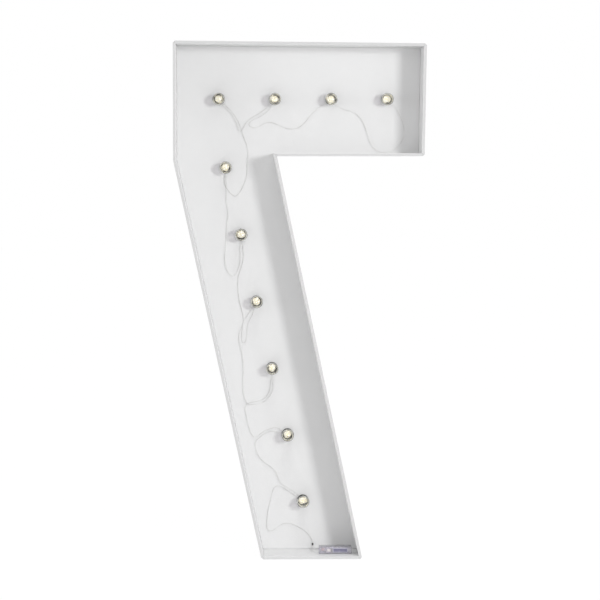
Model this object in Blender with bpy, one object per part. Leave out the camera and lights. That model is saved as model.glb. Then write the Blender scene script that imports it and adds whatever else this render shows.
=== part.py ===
# Light-up marquee number: the numeral 7 as an open-fronted tray of white foam board.
# Ten small bulbs stand on the back panel, strung on one thin wire that hangs loosely from bulb to bulb.
# A small clear battery case lies inside on the foot wall.
#
# The number stands on its foot. X runs to the right, Y runs from the open front to the back,
# Z runs up, and the origin is the middle of the bounding box at the level of the foot.
# All lengths are metres.

import math

import bmesh
import bpy
from mathutils import Vector

# Outline of the numeral, measured on the outside of the walls
overall_height = 0.9005
top_edge_fall = 0.0042
bar_width = 0.4388
bar_height = 0.1993
end_wall_lean = 0.0036
left_bend_drop = 0.0071
bar_overhang = 0.2553
foot_width = 0.1763
foot_left_inset = 0.1519

# Foam board
board = 0.0050
tray_depth = 0.1000
panel_inset = 0.0050
fold_cut_share = 0.76
fit_gap = 0.0003

# Places of the bulbs on the panel: shares of the bar's width, and of the leg's width at each level
bar_bulb_count = 4
bar_bulb_drop = 0.0993
bar_bulb_first_share = 0.1787
bar_bulb_last_share = 0.8521
leg_bulb_count = 6
leg_bulb_drop = 0.2190
leg_bulb_last_level = 0.0925
leg_bulb_first_share = 0.4834
leg_bulb_last_share = 0.5353

# Lamp holder, turned round its own axis; heights are measured from the front of the panel
stem_radius = 0.0048
snap_lip_reach = 0.0010
snap_lip_taper = 0.0016
snap_lip_clearance = 0.0014
flange_radius = 0.0100
flange_height = 0.0036
body_radius = 0.0070
body_height = 0.0140
cup_wall = 0.0012
cup_depth = 0.0050

# Light emitting lamp in the holder's cup
lamp_side_height = 0.0045
lamp_dome_height = 0.0048

# Clear cover
cover_wall = 0.0011
globe_radius = 0.0110
globe_level = 0.0272

# Wire of the light string and the sleeve on it
wire_diameter = 0.0010
wire_clearance = 0.0006
wire_step = 0.0080
sleeve_wall = 0.00065
sleeve_length = 0.0040
sleeve_bore_clearance = 0.00025

# Coin cells and the drawer round them
cell_radius = 0.0100
cell_thickness = 0.0032
cell_rim = 0.0012
cell_step = 0.0005
drawer_side_wall = 0.0027
drawer_front_wall = 0.0015
drawer_floor = 0.0007
drawer_floor_hole = 0.0070
drawer_rim_clearance = 0.0002
grip_radius = 0.0032
grip_depth = 0.0004

# Switch
switch_middle = 0.0179
switch_travel = 0.0030
knob_length = 0.0046
knob_height = 0.0042
knob_reach = 0.0014
slider_plate_margin = 0.0017
slider_plate_thickness = 0.0010

# Contact strips and circuit board
contact_thickness = 0.0003
contact_width = 0.0060
contact_length = 0.0200
contact_spring_room = 0.00045
circuit_thickness = 0.0010
circuit_level_share = 0.40
circuit_cap_room = 0.0020
circuit_drawer_room = 0.0035

# Battery case round the drawer, the switch and the circuit board
case_wall = 0.0010
case_end_wall = 0.0025
case_wall_clearance = 0.0088
case_front_inset = 0.0300
drawer_switch_room = 0.0006
drawer_end_room = 0.0045
drawer_back_room = 0.0014
cap_thickness = 0.0015
cap_boss_radius = 0.0016
cap_boss_length = 0.0012

# Overrun of every cutter past the face it opens
cut_overrun = 0.0010

# Edges turning more than this many degrees stay sharp on the round pieces
sharp_turn = 40

# Sides of the turned pieces
cover_sides = 16
holder_sides = 16
lamp_sides = 14
hole_sides = 20
cell_sides = 24
globe_steps = 7
dome_steps = 3

# Places of the outline and the panel, worked out from the sizes above
left_edge_x = -bar_width / 2
right_edge_x = left_edge_x + bar_width
lower_right_x = right_edge_x - end_wall_lean
inner_bend_x = lower_right_x - bar_overhang
foot_left_x = left_edge_x + foot_left_inset
foot_right_x = foot_left_x + foot_width
bar_underside_level = overall_height - bar_height
left_bend_level = bar_underside_level - left_bend_drop
leg_left_lean = (foot_left_x - left_edge_x) / left_bend_level
leg_right_lean = (foot_right_x - inner_bend_x) / bar_underside_level
front_y = -tray_depth / 2
back_y = tray_depth / 2
panel_back_y = back_y - panel_inset
panel_front_y = panel_back_y - board
wire_lift_low = wire_diameter / 2 + wire_clearance
wire_lift_high = wire_lift_low + wire_diameter + wire_clearance

# Sizes of the drawer and the case, worked out from what they hold
drawer_length = 2 * (cell_radius + fit_gap + drawer_side_wall)
drawer_depth = 2 * (cell_radius + fit_gap + drawer_front_wall)
drawer_height = drawer_floor + 2 * (cell_thickness + fit_gap) + drawer_rim_clearance
drawer_start = (
    switch_middle + switch_travel / 2 + knob_length / 2 + slider_plate_margin + drawer_switch_room
)
drawer_bottom = case_wall + fit_gap + contact_thickness + contact_spring_room
case_length = drawer_start + drawer_length + drawer_end_room + case_end_wall
case_width = drawer_depth + drawer_back_room + case_wall
case_height = drawer_height + 2 * drawer_bottom
circuit_start = cap_thickness + circuit_cap_room
circuit_end = drawer_start - circuit_drawer_room

# Place of the case: on the foot wall, its right end just short of the leg's leaning right wall
case_bottom = board + fit_gap
case_front = front_y + case_front_inset
case_right = (
    foot_right_x - leg_right_lean * (case_bottom + case_height)
    - board * math.hypot(1, leg_right_lean) - case_wall_clearance
)
case_left = case_right - case_length

# The wire's free stretches, by the numbers of the two bulbs that each joins,
# as places (x, z) on the panel, chosen by eye.
# Every other stretch lies over its neighbours, so that crossing wires clear each other.
wire_routes = {
    (10, 9): [
        (-0.0059, 0.1065), (-0.0156, 0.1123), (-0.0254, 0.1176), (-0.0325, 0.1235), (-0.0365, 0.1315),
        (-0.0408, 0.1422), (-0.0484, 0.1511), (-0.0591, 0.1583), (-0.0688, 0.1675), (-0.0754, 0.1796),
        (-0.0771, 0.1921), (-0.0745, 0.1996), (-0.0670, 0.2058), (-0.0581, 0.2120), (-0.0475, 0.2150),
    ],
    (9, 8): [
        (-0.0395, 0.2217), (-0.0493, 0.2201), (-0.0599, 0.2161), (-0.0688, 0.2102), (-0.0768, 0.2049),
        (-0.0826, 0.2072), (-0.0869, 0.2170), (-0.0904, 0.2286), (-0.0930, 0.2410), (-0.0953, 0.2525),
        (-0.0935, 0.2614), (-0.0865, 0.2662), (-0.0758, 0.2676), (-0.0652, 0.2712), (-0.0572, 0.2777),
        (-0.0523, 0.2871), (-0.0505, 0.2978),
    ],
    (8, 7): [
        (-0.0457, 0.2978), (-0.0473, 0.2862), (-0.0537, 0.2747), (-0.0634, 0.2671), (-0.0749, 0.2635),
        (-0.0856, 0.2623), (-0.0930, 0.2671), (-0.0971, 0.2792), (-0.0992, 0.2943), (-0.0985, 0.3111),
        (-0.0979, 0.3298), (-0.0997, 0.3484), (-0.1032, 0.3635), (-0.1058, 0.3777), (-0.1049, 0.3901),
        (-0.1009, 0.4007), (-0.0964, 0.4104), (-0.0908, 0.4211),
    ],
    (7, 6): [
        (-0.0831, 0.4202), (-0.0879, 0.4113), (-0.0915, 0.4007), (-0.0913, 0.3883), (-0.0938, 0.3771),
        (-0.0981, 0.3718), (-0.1009, 0.3785), (-0.1005, 0.3909), (-0.0987, 0.4034), (-0.0984, 0.4166),
        (-0.1014, 0.4308), (-0.1049, 0.4450), (-0.1073, 0.4600), (-0.1080, 0.4751), (-0.1070, 0.4892),
        (-0.1031, 0.5016), (-0.0992, 0.5157), (-0.0981, 0.5281),
    ],
    (6, 5): [
        (-0.1037, 0.5369), (-0.1030, 0.5246), (-0.1045, 0.5113), (-0.1087, 0.4989), (-0.1149, 0.4905),
        (-0.1220, 0.4935), (-0.1278, 0.5034), (-0.1306, 0.5175), (-0.1302, 0.5334), (-0.1284, 0.5493),
        (-0.1275, 0.5661), (-0.1266, 0.5829), (-0.1249, 0.5979), (-0.1263, 0.6129), (-0.1280, 0.6279),
        (-0.1278, 0.6429),
    ],
    (5, 1): [
        (-0.1315, 0.6552), (-0.1273, 0.6455), (-0.1206, 0.6362), (-0.1123, 0.6311), (-0.1042, 0.6379),
        (-0.0971, 0.6517), (-0.0918, 0.6685), (-0.0912, 0.6870), (-0.0898, 0.7055), (-0.0919, 0.7204),
        (-0.0974, 0.7345), (-0.1016, 0.7486), (-0.1076, 0.7636), (-0.1164, 0.7771), (-0.1252, 0.7864),
    ],
    (1, 2): [
        (-0.1278, 0.7845), (-0.1197, 0.7759), (-0.1120, 0.7636), (-0.1071, 0.7512), (-0.1032, 0.7439),
        (-0.0988, 0.7493), (-0.0936, 0.7588), (-0.0861, 0.7666), (-0.0755, 0.7729), (-0.0649, 0.7798),
        (-0.0564, 0.7868),
    ],
    (2, 3): [
        (-0.0529, 0.7829), (-0.0617, 0.7750), (-0.0732, 0.7683), (-0.0846, 0.7627), (-0.0877, 0.7557),
        (-0.0804, 0.7509), (-0.0698, 0.7539), (-0.0600, 0.7592), (-0.0490, 0.7606), (-0.0376, 0.7566),
        (-0.0252, 0.7511), (-0.0129, 0.7490), (-0.0005, 0.7518), (0.0101, 0.7604), (0.0194, 0.7719),
        (0.0295, 0.7825), (0.0397, 0.7898),
    ],
    (3, 4): [
        (0.0718, 0.7869), (0.0824, 0.7823), (0.0930, 0.7800), (0.1027, 0.7740), (0.1103, 0.7654),
        (0.1160, 0.7540), (0.1202, 0.7407), (0.1246, 0.7275), (0.1315, 0.7159), (0.1416, 0.7094),
        (0.1531, 0.7083), (0.1646, 0.7112), (0.1752, 0.7194), (0.1826, 0.7311), (0.1852, 0.7443),
        (0.1831, 0.7584), (0.1777, 0.7725), (0.1710, 0.7851),
    ],
}

# The lead from the battery case: over the foot wall to the panel, up through the sleeve,
# and then up the panel to the lowest bulb, as places (x, y, z).
lead_route = [
    (0.0290, -0.0060, 0.0108), (0.0240, -0.0035, 0.0082), (0.0212, 0.0045, 0.0064),
    (0.0205, 0.0160, 0.0061), (0.0212, 0.0270, 0.0064), (0.0228, 0.0345, 0.0080),
    (0.0240, 0.0374, 0.0108), (0.0243, 0.0380, 0.0138), (0.0238, 0.0380, 0.0172),
    (0.0224, 0.0388, 0.0225), (0.0163, 0.0389, 0.0316), (0.0066, 0.0389, 0.0397),
    (-0.0041, 0.0389, 0.0459), (-0.0165, 0.0389, 0.0508), (-0.0272, 0.0389, 0.0504),
    (-0.0360, 0.0389, 0.0460), (-0.0449, 0.0389, 0.0389), (-0.0529, 0.0389, 0.0374),
    (-0.0570, 0.0389, 0.0451), (-0.0565, 0.0389, 0.0594), (-0.0550, 0.0389, 0.0736),
    (-0.0520, 0.0389, 0.0879), (-0.0484, 0.0389, 0.1021), (-0.0440, 0.0389, 0.1146),
    (-0.0360, 0.0389, 0.1176), (-0.0271, 0.0389, 0.1141), (-0.0183, 0.0389, 0.1087),
    (-0.0094, 0.0389, 0.1021),
]
sleeve_route_place = 7


# Scene and materials

def clear_scene():
    for thing in list(bpy.data.objects):
        bpy.data.objects.remove(thing, do_unlink=True)


def make_material(name, colour, roughness, metallic=0.0):
    material = bpy.data.materials.new(name)
    material.use_nodes = True
    shader = material.node_tree.nodes["Principled BSDF"]
    shader.inputs["Base Color"].default_value = (*colour, 1.0)
    shader.inputs["Roughness"].default_value = roughness
    shader.inputs["Metallic"].default_value = metallic
    return material


def add_object(name, data, material):
    thing = bpy.data.objects.new(name, data)
    bpy.context.scene.collection.objects.link(thing)
    if not data.materials:
        data.materials.append(material)
    return thing


def mesh_from(name, bm):
    bmesh.ops.recalc_face_normals(bm, faces=bm.faces)
    mesh = bpy.data.meshes.new(name)
    bm.to_mesh(mesh)
    bm.free()
    return mesh


def shade_round(mesh):
    mesh.shade_smooth()
    mesh.set_sharp_from_angle(angle=math.radians(sharp_turn))


# Shapes

def add_block(bm, low, high):
    """Add a plain block between two opposite corners."""
    corners = [
        bm.verts.new((x, y, z))
        for z in (low[2], high[2])
        for x, y in ((low[0], low[1]), (high[0], low[1]), (high[0], high[1]), (low[0], high[1]))
    ]
    bm.faces.new(corners[3::-1])
    bm.faces.new(corners[4:])
    for side in range(4):
        following = (side + 1) % 4
        bm.faces.new((corners[side], corners[following], corners[following + 4], corners[side + 4]))


def block_mesh(name, *blocks):
    bm = bmesh.new()
    for low, high in blocks:
        add_block(bm, low, high)
    return mesh_from(name, bm)


def board_mesh(name, outline, near_y, far_y):
    """Cut a flat board to an outline of (x, z) places and give it its thickness along Y."""
    bm = bmesh.new()
    face = bm.faces.new([bm.verts.new((x, near_y, z)) for x, z in outline])
    grown = bmesh.ops.extrude_face_region(bm, geom=[face])
    moved = [item for item in grown["geom"] if isinstance(item, bmesh.types.BMVert)]
    bmesh.ops.translate(bm, verts=moved, vec=(0, far_y - near_y, 0))
    return mesh_from(name, bm)


def turned_mesh(name, profile, sides, closed=False):
    """Spin a profile of (radius, height) places round the Z axis."""
    bm = bmesh.new()
    points = [bm.verts.new((radius, 0, height)) for radius, height in profile]
    lines = [bm.edges.new(pair) for pair in zip(points, points[1:])]
    if closed:
        lines.append(bm.edges.new((points[-1], points[0])))
    bmesh.ops.spin(
        bm, geom=points + lines, cent=(0, 0, 0), axis=(0, 0, 1), angle=math.tau, steps=sides, use_merge=True
    )
    bmesh.ops.remove_doubles(bm, verts=bm.verts, dist=fit_gap / 1000)
    mesh = mesh_from(name, bm)
    shade_round(mesh)
    return mesh


def cutter(name, mesh):
    """Make a shape that only cuts: it is not a piece of the number."""
    thing = bpy.data.objects.new(name, mesh)
    bpy.context.scene.collection.objects.link(thing)
    thing.hide_render = True
    thing.display_type = "WIRE"
    return thing


def cut_away(thing, tool):
    cut = thing.modifiers.new(tool.name, "BOOLEAN")
    cut.operation = "DIFFERENCE"
    cut.solver = "EXACT"
    cut.object = tool


def cut_block(thing, name, low, high):
    """Cut a plain block out of a piece, between two opposite corners."""
    cut_away(thing, cutter(name, block_mesh(name, (low, high))))


def arc_places(radius, level, start, end, steps):
    """Places (radius, height) on an arc about the axis, by angle from the axis."""
    places = []
    for step in range(steps + 1):
        angle = start + (end - start) * step / steps
        places.append((radius * math.sin(angle), level + radius * math.cos(angle)))
    return places


# Outline of the numeral

def outer_corners():
    """Corners of the numeral, clockwise from the top left."""
    return [
        Vector((left_edge_x, overall_height)),
        Vector((right_edge_x, overall_height - top_edge_fall)),
        Vector((lower_right_x, bar_underside_level)),
        Vector((inner_bend_x, bar_underside_level)),
        Vector((foot_right_x, 0)),
        Vector((foot_left_x, 0)),
        Vector((left_edge_x, left_bend_level)),
    ]


def edge_direction(corners, place):
    start = corners[place % len(corners)]
    end = corners[(place + 1) % len(corners)]
    return (end - start).normalized()


def cross(first, second):
    return first.x * second.y - first.y * second.x


def inset_corners(corners, distance):
    """Move every edge of a clockwise outline inwards by a distance and find the new corners."""
    inner = []
    for place, corner in enumerate(corners):
        before = edge_direction(corners, place - 1)
        after = edge_direction(corners, place)
        start = corner + Vector((before.y, -before.x)) * distance
        end = corner + Vector((after.y, -after.x)) * distance
        along = cross(end - start, after) / cross(before, after)
        inner.append(start + before * along)
    return inner


def strip_end(corners, inner, place, direction, folded):
    """The end of a wall strip at one corner: inner, fold and outer places."""
    corner = corners[place % len(corners)]
    mitre = inner[place % len(corners)] - corner
    shift = direction * (fit_gap / 2 / abs(cross(mitre.normalized(), direction)))
    if not folded:
        return [corner + mitre + shift, corner + shift]
    before = edge_direction(corners, place - 1)
    after = edge_direction(corners, place)
    fold_cut = board * fold_cut_share
    fold = corner + (after - before) * (fold_cut / 2)
    return [corner + mitre + shift, fold + shift, corner + direction * fold_cut]


def strip_outline(corners, inner, place, folds):
    along = edge_direction(corners, place)
    start = strip_end(corners, inner, place, along, folds[place])
    end = strip_end(corners, inner, place + 1, -along, folds[(place + 1) % len(corners)])
    return start + end[::-1]


# The tray

def build_walls(material):
    corners = outer_corners()
    inner = inset_corners(corners, board)
    names = [
        "top_wall", "right_end_wall", "bar_underside_wall", "leg_right_wall",
        "foot_wall", "leg_left_wall", "left_end_wall",
    ]
    folds = [True, True, True, False, True, True, False]
    for place, name in enumerate(names):
        outline = strip_outline(corners, inner, place, folds)
        add_object(name, board_mesh(name, outline, front_y, back_y), material)


def between(first, last, place, count):
    return first + (last - first) * place / (count - 1)


def bulb_places():
    """Middles of the bulbs as (x, z): along the bar from the left, then down the leg."""
    places = []
    for place in range(bar_bulb_count):
        share = between(bar_bulb_first_share, bar_bulb_last_share, place, bar_bulb_count)
        places.append(Vector((left_edge_x + bar_width * share, overall_height - bar_bulb_drop)))
    for place in range(leg_bulb_count):
        level = between(overall_height - leg_bulb_drop, leg_bulb_last_level, place, leg_bulb_count)
        share = between(leg_bulb_first_share, leg_bulb_last_share, place, leg_bulb_count)
        left = foot_left_x - leg_left_lean * level
        right = foot_right_x - leg_right_lean * level
        places.append(Vector((left + (right - left) * share, level)))
    return places


def build_panel(material):
    outline = inset_corners(outer_corners(), board + fit_gap)
    board_cut = board_mesh("back_panel", outline, panel_front_y, panel_back_y)
    panel = add_object("back_panel", board_cut, material)
    bm = bmesh.new()
    for middle in bulb_places():
        ring = []
        for side in range(hole_sides):
            angle = math.tau * side / hole_sides
            reach = stem_radius + fit_gap
            place = (middle.x + reach * math.cos(angle), panel_front_y - cut_overrun,
                     middle.y + reach * math.sin(angle))
            ring.append(bm.verts.new(place))
        grown = bmesh.ops.extrude_face_region(bm, geom=[bm.faces.new(ring)])
        moved = [item for item in grown["geom"] if isinstance(item, bmesh.types.BMVert)]
        bmesh.ops.translate(bm, verts=moved, vec=(0, board + 2 * cut_overrun, 0))
    cut_away(panel, cutter("holder_hole_cutter", mesh_from("holder_hole_cutter", bm)))


# The bulbs

def holder_profile():
    cup_radius = body_radius - cup_wall
    cup_floor = body_height - cup_depth
    lip_radius = stem_radius + snap_lip_reach
    tip_level = snap_lip_clearance - board - panel_inset
    return [
        (0, tip_level), (lip_radius - snap_lip_taper, tip_level), (lip_radius, -board - fit_gap),
        (stem_radius, -board - fit_gap), (stem_radius, fit_gap),
        (flange_radius, fit_gap), (flange_radius, flange_height), (body_radius, flange_height),
        (body_radius, body_height), (cup_radius, body_height), (cup_radius, cup_floor), (0, cup_floor),
    ]


def lamp_profile():
    radius = body_radius - cup_wall - fit_gap
    base = body_height - cup_depth + fit_gap
    shoulder = base + lamp_side_height
    places = [(0, base), (radius, base)]
    for step in range(dome_steps + 1):
        angle = math.pi / 2 * step / dome_steps
        places.append((radius * math.cos(angle), shoulder + lamp_dome_height * math.sin(angle)))
    return places


def cover_profile():
    neck_inner = body_radius + fit_gap
    neck_outer = neck_inner + cover_wall
    base = flange_height + fit_gap
    inner_radius = globe_radius - cover_wall
    outer_start = math.pi - math.asin(neck_outer / globe_radius)
    inner_start = math.pi - math.asin(neck_inner / inner_radius)
    outside = arc_places(globe_radius, globe_level, outer_start, 0, globe_steps)
    inside = arc_places(inner_radius, globe_level, inner_start, 0, globe_steps)
    return [(neck_inner, base), (neck_outer, base)] + outside, [(neck_inner, base)] + inside


def cover_mesh():
    """Spin the outside and the inside as one open-bottomed shell."""
    outside, inside = cover_profile()
    bm = bmesh.new()
    for profile in (outside, inside):
        points = [bm.verts.new((radius, 0, height)) for radius, height in profile]
        lines = [bm.edges.new(pair) for pair in zip(points, points[1:])]
        bmesh.ops.spin(
            bm, geom=points + lines, cent=(0, 0, 0), axis=(0, 0, 1), angle=math.tau,
            steps=cover_sides, use_merge=True,
        )
    bmesh.ops.remove_doubles(bm, verts=bm.verts, dist=fit_gap / 1000)
    mesh = mesh_from("bulb_cover", bm)
    shade_round(mesh)
    return mesh


def place_on_panel(thing, middle):
    """Stand a turned piece on the panel, its axis pointing out of the open front."""
    thing.location = (middle.x, panel_front_y, middle.y)
    thing.rotation_euler = (math.pi / 2, 0, 0)


def build_bulbs(holder_material, lamp_material, cover_material):
    holder = turned_mesh("lamp_holder", holder_profile(), holder_sides)
    lamp = turned_mesh("led_lamp", lamp_profile(), lamp_sides)
    cover = cover_mesh()
    for place, middle in enumerate(bulb_places()):
        number = f"{place + 1:02d}"
        place_on_panel(add_object("lamp_holder_" + number, holder, holder_material), middle)
        place_on_panel(add_object("led_lamp_" + number, lamp, lamp_material), middle)
        place_on_panel(add_object("bulb_cover_" + number, cover, cover_material), middle)


# The wire

def smooth_places(places, step):
    """Read a smooth curve through the places, about one place for every step of length."""
    ends = [2 * places[0] - places[1]] + places + [2 * places[-1] - places[-2]]
    read = [places[0]]
    for before, start, end, after in zip(ends, ends[1:], ends[2:], ends[3:]):
        count = max(1, round((end - start).length / step))
        for part in range(1, count + 1):
            share = part / count
            read.append(0.5 * (
                2 * start + (end - before) * share
                + (2 * before - 5 * start + 4 * end - after) * share ** 2
                + (3 * start - before - 3 * end + after) * share ** 3
            ))
    return read


def build_tube(name, places, material):
    curve = bpy.data.curves.new(name, "CURVE")
    curve.dimensions = "3D"
    curve.bevel_depth = wire_diameter / 2
    curve.bevel_resolution = 2
    curve.use_fill_caps = True
    spline = curve.splines.new("POLY")
    spline.points.add(len(places) - 1)
    for point, place in zip(spline.points, places):
        point.co = (*place, 1.0)
    length = sum((end - start).length for start, end in zip(places, places[1:]))
    print(name, "length", round(length, 4), "points", len(places))
    add_object(name, curve, material)
    return length


def flange_exit(middle, towards, lift):
    """Where a wire leaves a lamp holder's flange, square to it, on the way to a place."""
    outwards = Vector((towards[0] - middle.x, towards[1] - middle.y)).normalized()
    place = middle + outwards * (flange_radius + fit_gap)
    return Vector((place.x, panel_front_y - lift, place.y))


def build_wires(material, sleeve_material):
    middles = bulb_places()
    total = 0
    for place, ((first, last), route) in enumerate(wire_routes.items()):
        lift = wire_lift_high if place % 2 == 0 else wire_lift_low
        places = [Vector((x, panel_front_y - lift, z)) for x, z in route]
        places.insert(0, flange_exit(middles[first - 1], route[0], lift))
        places.append(flange_exit(middles[last - 1], route[-1], lift))
        name = f"wire_bulb_{first:02d}_to_{last:02d}"
        total += build_tube(name, smooth_places(places, wire_step), material)

    lead = [Vector(place) for place in lead_route]
    gland = Vector((case_left - cap_boss_length - fit_gap, *cap_boss_middle()))
    end = flange_exit(middles[-1], (lead[-1].x, lead[-1].z), wire_lift_low)
    gland_run = gland + Vector((-cap_boss_length, 0, 0))
    places = [gland, gland_run] + lead + [end]
    total += build_tube("wire_case_to_bulb_10", smooth_places(places, wire_step), material)
    print("whole wire", round(total, 3))
    build_sleeve(lead, sleeve_material)


def build_sleeve(lead, material):
    middle = lead[sleeve_route_place]
    along = lead[sleeve_route_place + 1] - lead[sleeve_route_place - 1]
    bore = wire_diameter / 2 + sleeve_bore_clearance
    outside = bore + sleeve_wall
    half = sleeve_length / 2
    profile = [(bore, -half), (outside, -half), (outside, half), (bore, half)]
    tube = turned_mesh("lead_sleeve", profile, lamp_sides, closed=True)
    sleeve = add_object("lead_sleeve", tube, material)
    sleeve.location = middle
    sleeve.rotation_euler = along.to_track_quat("Z", "Y").to_euler()


# The battery case and what it holds

def case_place(x, y, z):
    """A place measured from the case's left front lower corner."""
    return (case_left + x, case_front + y, case_bottom + z)


def cap_boss_middle():
    return (case_front + case_width / 2, case_bottom + case_height / 2)


def build_case(material):
    outside = (case_place(0, 0, 0), case_place(case_length, case_width, case_height))
    case = add_object("battery_case", block_mesh("battery_case", outside), material)

    inside_low = case_place(-cut_overrun, case_wall, case_wall)
    inside_high = case_place(case_length - case_end_wall, case_width - case_wall, case_height - case_wall)
    cut_block(case, "case_inside_cutter", inside_low, inside_high)

    window_low = case_place(drawer_start - fit_gap, -cut_overrun, drawer_bottom - fit_gap)
    window_high = case_place(
        drawer_start + drawer_length + fit_gap, case_wall + cut_overrun,
        drawer_bottom + drawer_height + fit_gap,
    )
    cut_block(case, "case_window_cutter", window_low, window_high)

    half_slot = (knob_length + switch_travel) / 2 + fit_gap
    half_slot_height = knob_height / 2 + fit_gap
    middle = case_height / 2
    slot_low = case_place(switch_middle - half_slot, -cut_overrun, middle - half_slot_height)
    slot_high = case_place(switch_middle + half_slot, case_wall + cut_overrun, middle + half_slot_height)
    cut_block(case, "switch_slot_cutter", slot_low, slot_high)


def build_end_cap(material):
    inset = case_wall + fit_gap
    plate = block_mesh("case_end_cap", (
        case_place(0, inset, inset), case_place(cap_thickness, case_width - inset, case_height - inset)
    ))
    cap = add_object("case_end_cap", plate, material)
    boss_profile = [
        (0, -cut_overrun), (cap_boss_radius, -cut_overrun), (cap_boss_radius, cap_boss_length),
        (0, cap_boss_length),
    ]
    boss = cutter("cap_boss", turned_mesh("cap_boss", boss_profile, lamp_sides))
    boss.location = (case_left, *cap_boss_middle())
    boss.rotation_euler = (0, -math.pi / 2, 0)
    join = cap.modifiers.new("cap_boss", "BOOLEAN")
    join.operation = "UNION"
    join.solver = "EXACT"
    join.object = boss


def cell_middle():
    return (drawer_start + drawer_length / 2, drawer_depth / 2)


def build_drawer(material):
    low = case_place(drawer_start, 0, drawer_bottom)
    high = case_place(drawer_start + drawer_length, drawer_depth, drawer_bottom + drawer_height)
    drawer = add_object("battery_drawer", block_mesh("battery_drawer", (low, high)), material)

    x, y = cell_middle()
    recess = cell_radius + fit_gap
    top = drawer_height + cut_overrun
    profile = [
        (0, -cut_overrun), (drawer_floor_hole, -cut_overrun), (drawer_floor_hole, drawer_floor),
        (recess, drawer_floor), (recess, top), (0, top),
    ]
    pocket = cutter("cell_recess_cutter", turned_mesh("cell_recess_cutter", profile, cell_sides))
    pocket.location = case_place(x, y, drawer_bottom)
    cut_away(drawer, pocket)

    grip_profile = [
        (0, -grip_depth), (grip_radius, -grip_depth), (grip_radius, cut_overrun), (0, cut_overrun),
    ]
    grip = cutter("drawer_grip_cutter", turned_mesh("drawer_grip_cutter", grip_profile, lamp_sides))
    grip.location = case_place(x, 0, drawer_bottom + drawer_height / 2)
    grip.rotation_euler = (math.pi / 2, 0, 0)
    cut_away(drawer, grip)


def build_cells(material):
    rim = cell_radius - cell_rim
    profile = [
        (0, 0), (rim, 0), (rim, cell_step), (cell_radius, cell_step), (cell_radius, cell_thickness),
        (0, cell_thickness),
    ]
    mesh = turned_mesh("coin_cell", profile, cell_sides)
    x, y = cell_middle()
    base = drawer_bottom + drawer_floor + fit_gap
    for name, level in (("coin_cell_lower", base), ("coin_cell_upper", base + cell_thickness + fit_gap)):
        add_object(name, mesh, material).location = case_place(x, y, level)


def build_contacts(material):
    x, y = cell_middle()
    start = drawer_start - contact_length / 2
    end = start + contact_length
    for name, level in (
        ("contact_strip_lower", case_wall + fit_gap),
        ("contact_strip_upper", case_height - case_wall - fit_gap - contact_thickness),
    ):
        low = case_place(start, y - contact_width / 2, level)
        high = case_place(end, y + contact_width / 2, level + contact_thickness)
        add_object(name, block_mesh(name, (low, high)), material)


def build_circuit_board(material):
    inset = case_wall + fit_gap
    plate_room = slider_plate_thickness + fit_gap
    level = case_height * circuit_level_share
    low = case_place(circuit_start, inset + plate_room, level)
    high = case_place(circuit_end, case_width - inset, level + circuit_thickness)
    add_object("circuit_board", block_mesh("circuit_board", (low, high)), material)


def build_switch(material):
    """A plate behind the wall, its face inset and drawn out as the knob in the slot's left end."""
    rest = switch_middle - switch_travel / 2
    half_length = knob_length / 2 + slider_plate_margin
    half_height = knob_height / 2 + slider_plate_margin
    plate_y = case_wall + fit_gap
    middle = case_height / 2
    bm = bmesh.new()
    add_block(
        bm,
        case_place(rest - half_length, plate_y, middle - half_height),
        case_place(rest + half_length, plate_y + slider_plate_thickness, middle + half_height),
    )
    bm.normal_update()
    front = min(bm.faces, key=lambda face: face.calc_center_median().y)
    bmesh.ops.inset_individual(bm, faces=[front], thickness=slider_plate_margin, use_even_offset=True)
    knob = bmesh.ops.extrude_discrete_faces(bm, faces=[front])["faces"][0]
    bmesh.ops.translate(bm, verts=knob.verts, vec=(0, -plate_y - knob_reach, 0))
    add_object("switch_slider", mesh_from("switch_slider", bm), material)


def main():
    clear_scene()
    white_board = make_material("foam_board", (0.80, 0.80, 0.80), 0.62)
    clear_plastic = make_material("clear_plastic", (0.86, 0.88, 0.88), 0.08)
    dark_plastic = make_material("dark_plastic", (0.06, 0.06, 0.05), 0.35)
    warm_lamp = make_material("warm_lamp", (0.90, 0.84, 0.62), 0.45)
    silver_wire = make_material("silver_wire", (0.70, 0.70, 0.70), 0.30, 1.0)
    black_sleeve = make_material("black_sleeve", (0.02, 0.02, 0.02), 0.60)
    violet_plastic = make_material("violet_plastic", (0.14, 0.12, 0.24), 0.30)
    cell_steel = make_material("cell_steel", (0.62, 0.62, 0.64), 0.25, 1.0)
    contact_metal = make_material("contact_metal", (0.70, 0.66, 0.55), 0.30, 1.0)
    circuit_resin = make_material("circuit_resin", (0.60, 0.34, 0.30), 0.50)
    switch_plastic = make_material("switch_plastic", (0.80, 0.76, 0.76), 0.45)

    build_panel(white_board)
    build_walls(white_board)
    build_bulbs(dark_plastic, warm_lamp, clear_plastic)
    build_wires(silver_wire, black_sleeve)
    build_case(clear_plastic)
    build_end_cap(clear_plastic)
    build_drawer(violet_plastic)
    build_cells(cell_steel)
    build_contacts(contact_metal)
    build_circuit_board(circuit_resin)
    build_switch(switch_plastic)


main()
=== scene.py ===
# %% [markdown]
# # A light-up marquee number
# The real object is a numeral 7 glued up from white foam board: a back panel and seven wall strips
# make a tray that is open to the front. Ten small bulbs stand on the panel. One thin wire joins them,
# and a clear case with two coin cells lies on the foot.
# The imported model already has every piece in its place, so it is loaded first and stays as it is.

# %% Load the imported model
import math

import bpy
from mathutils import Matrix, Vector


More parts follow.
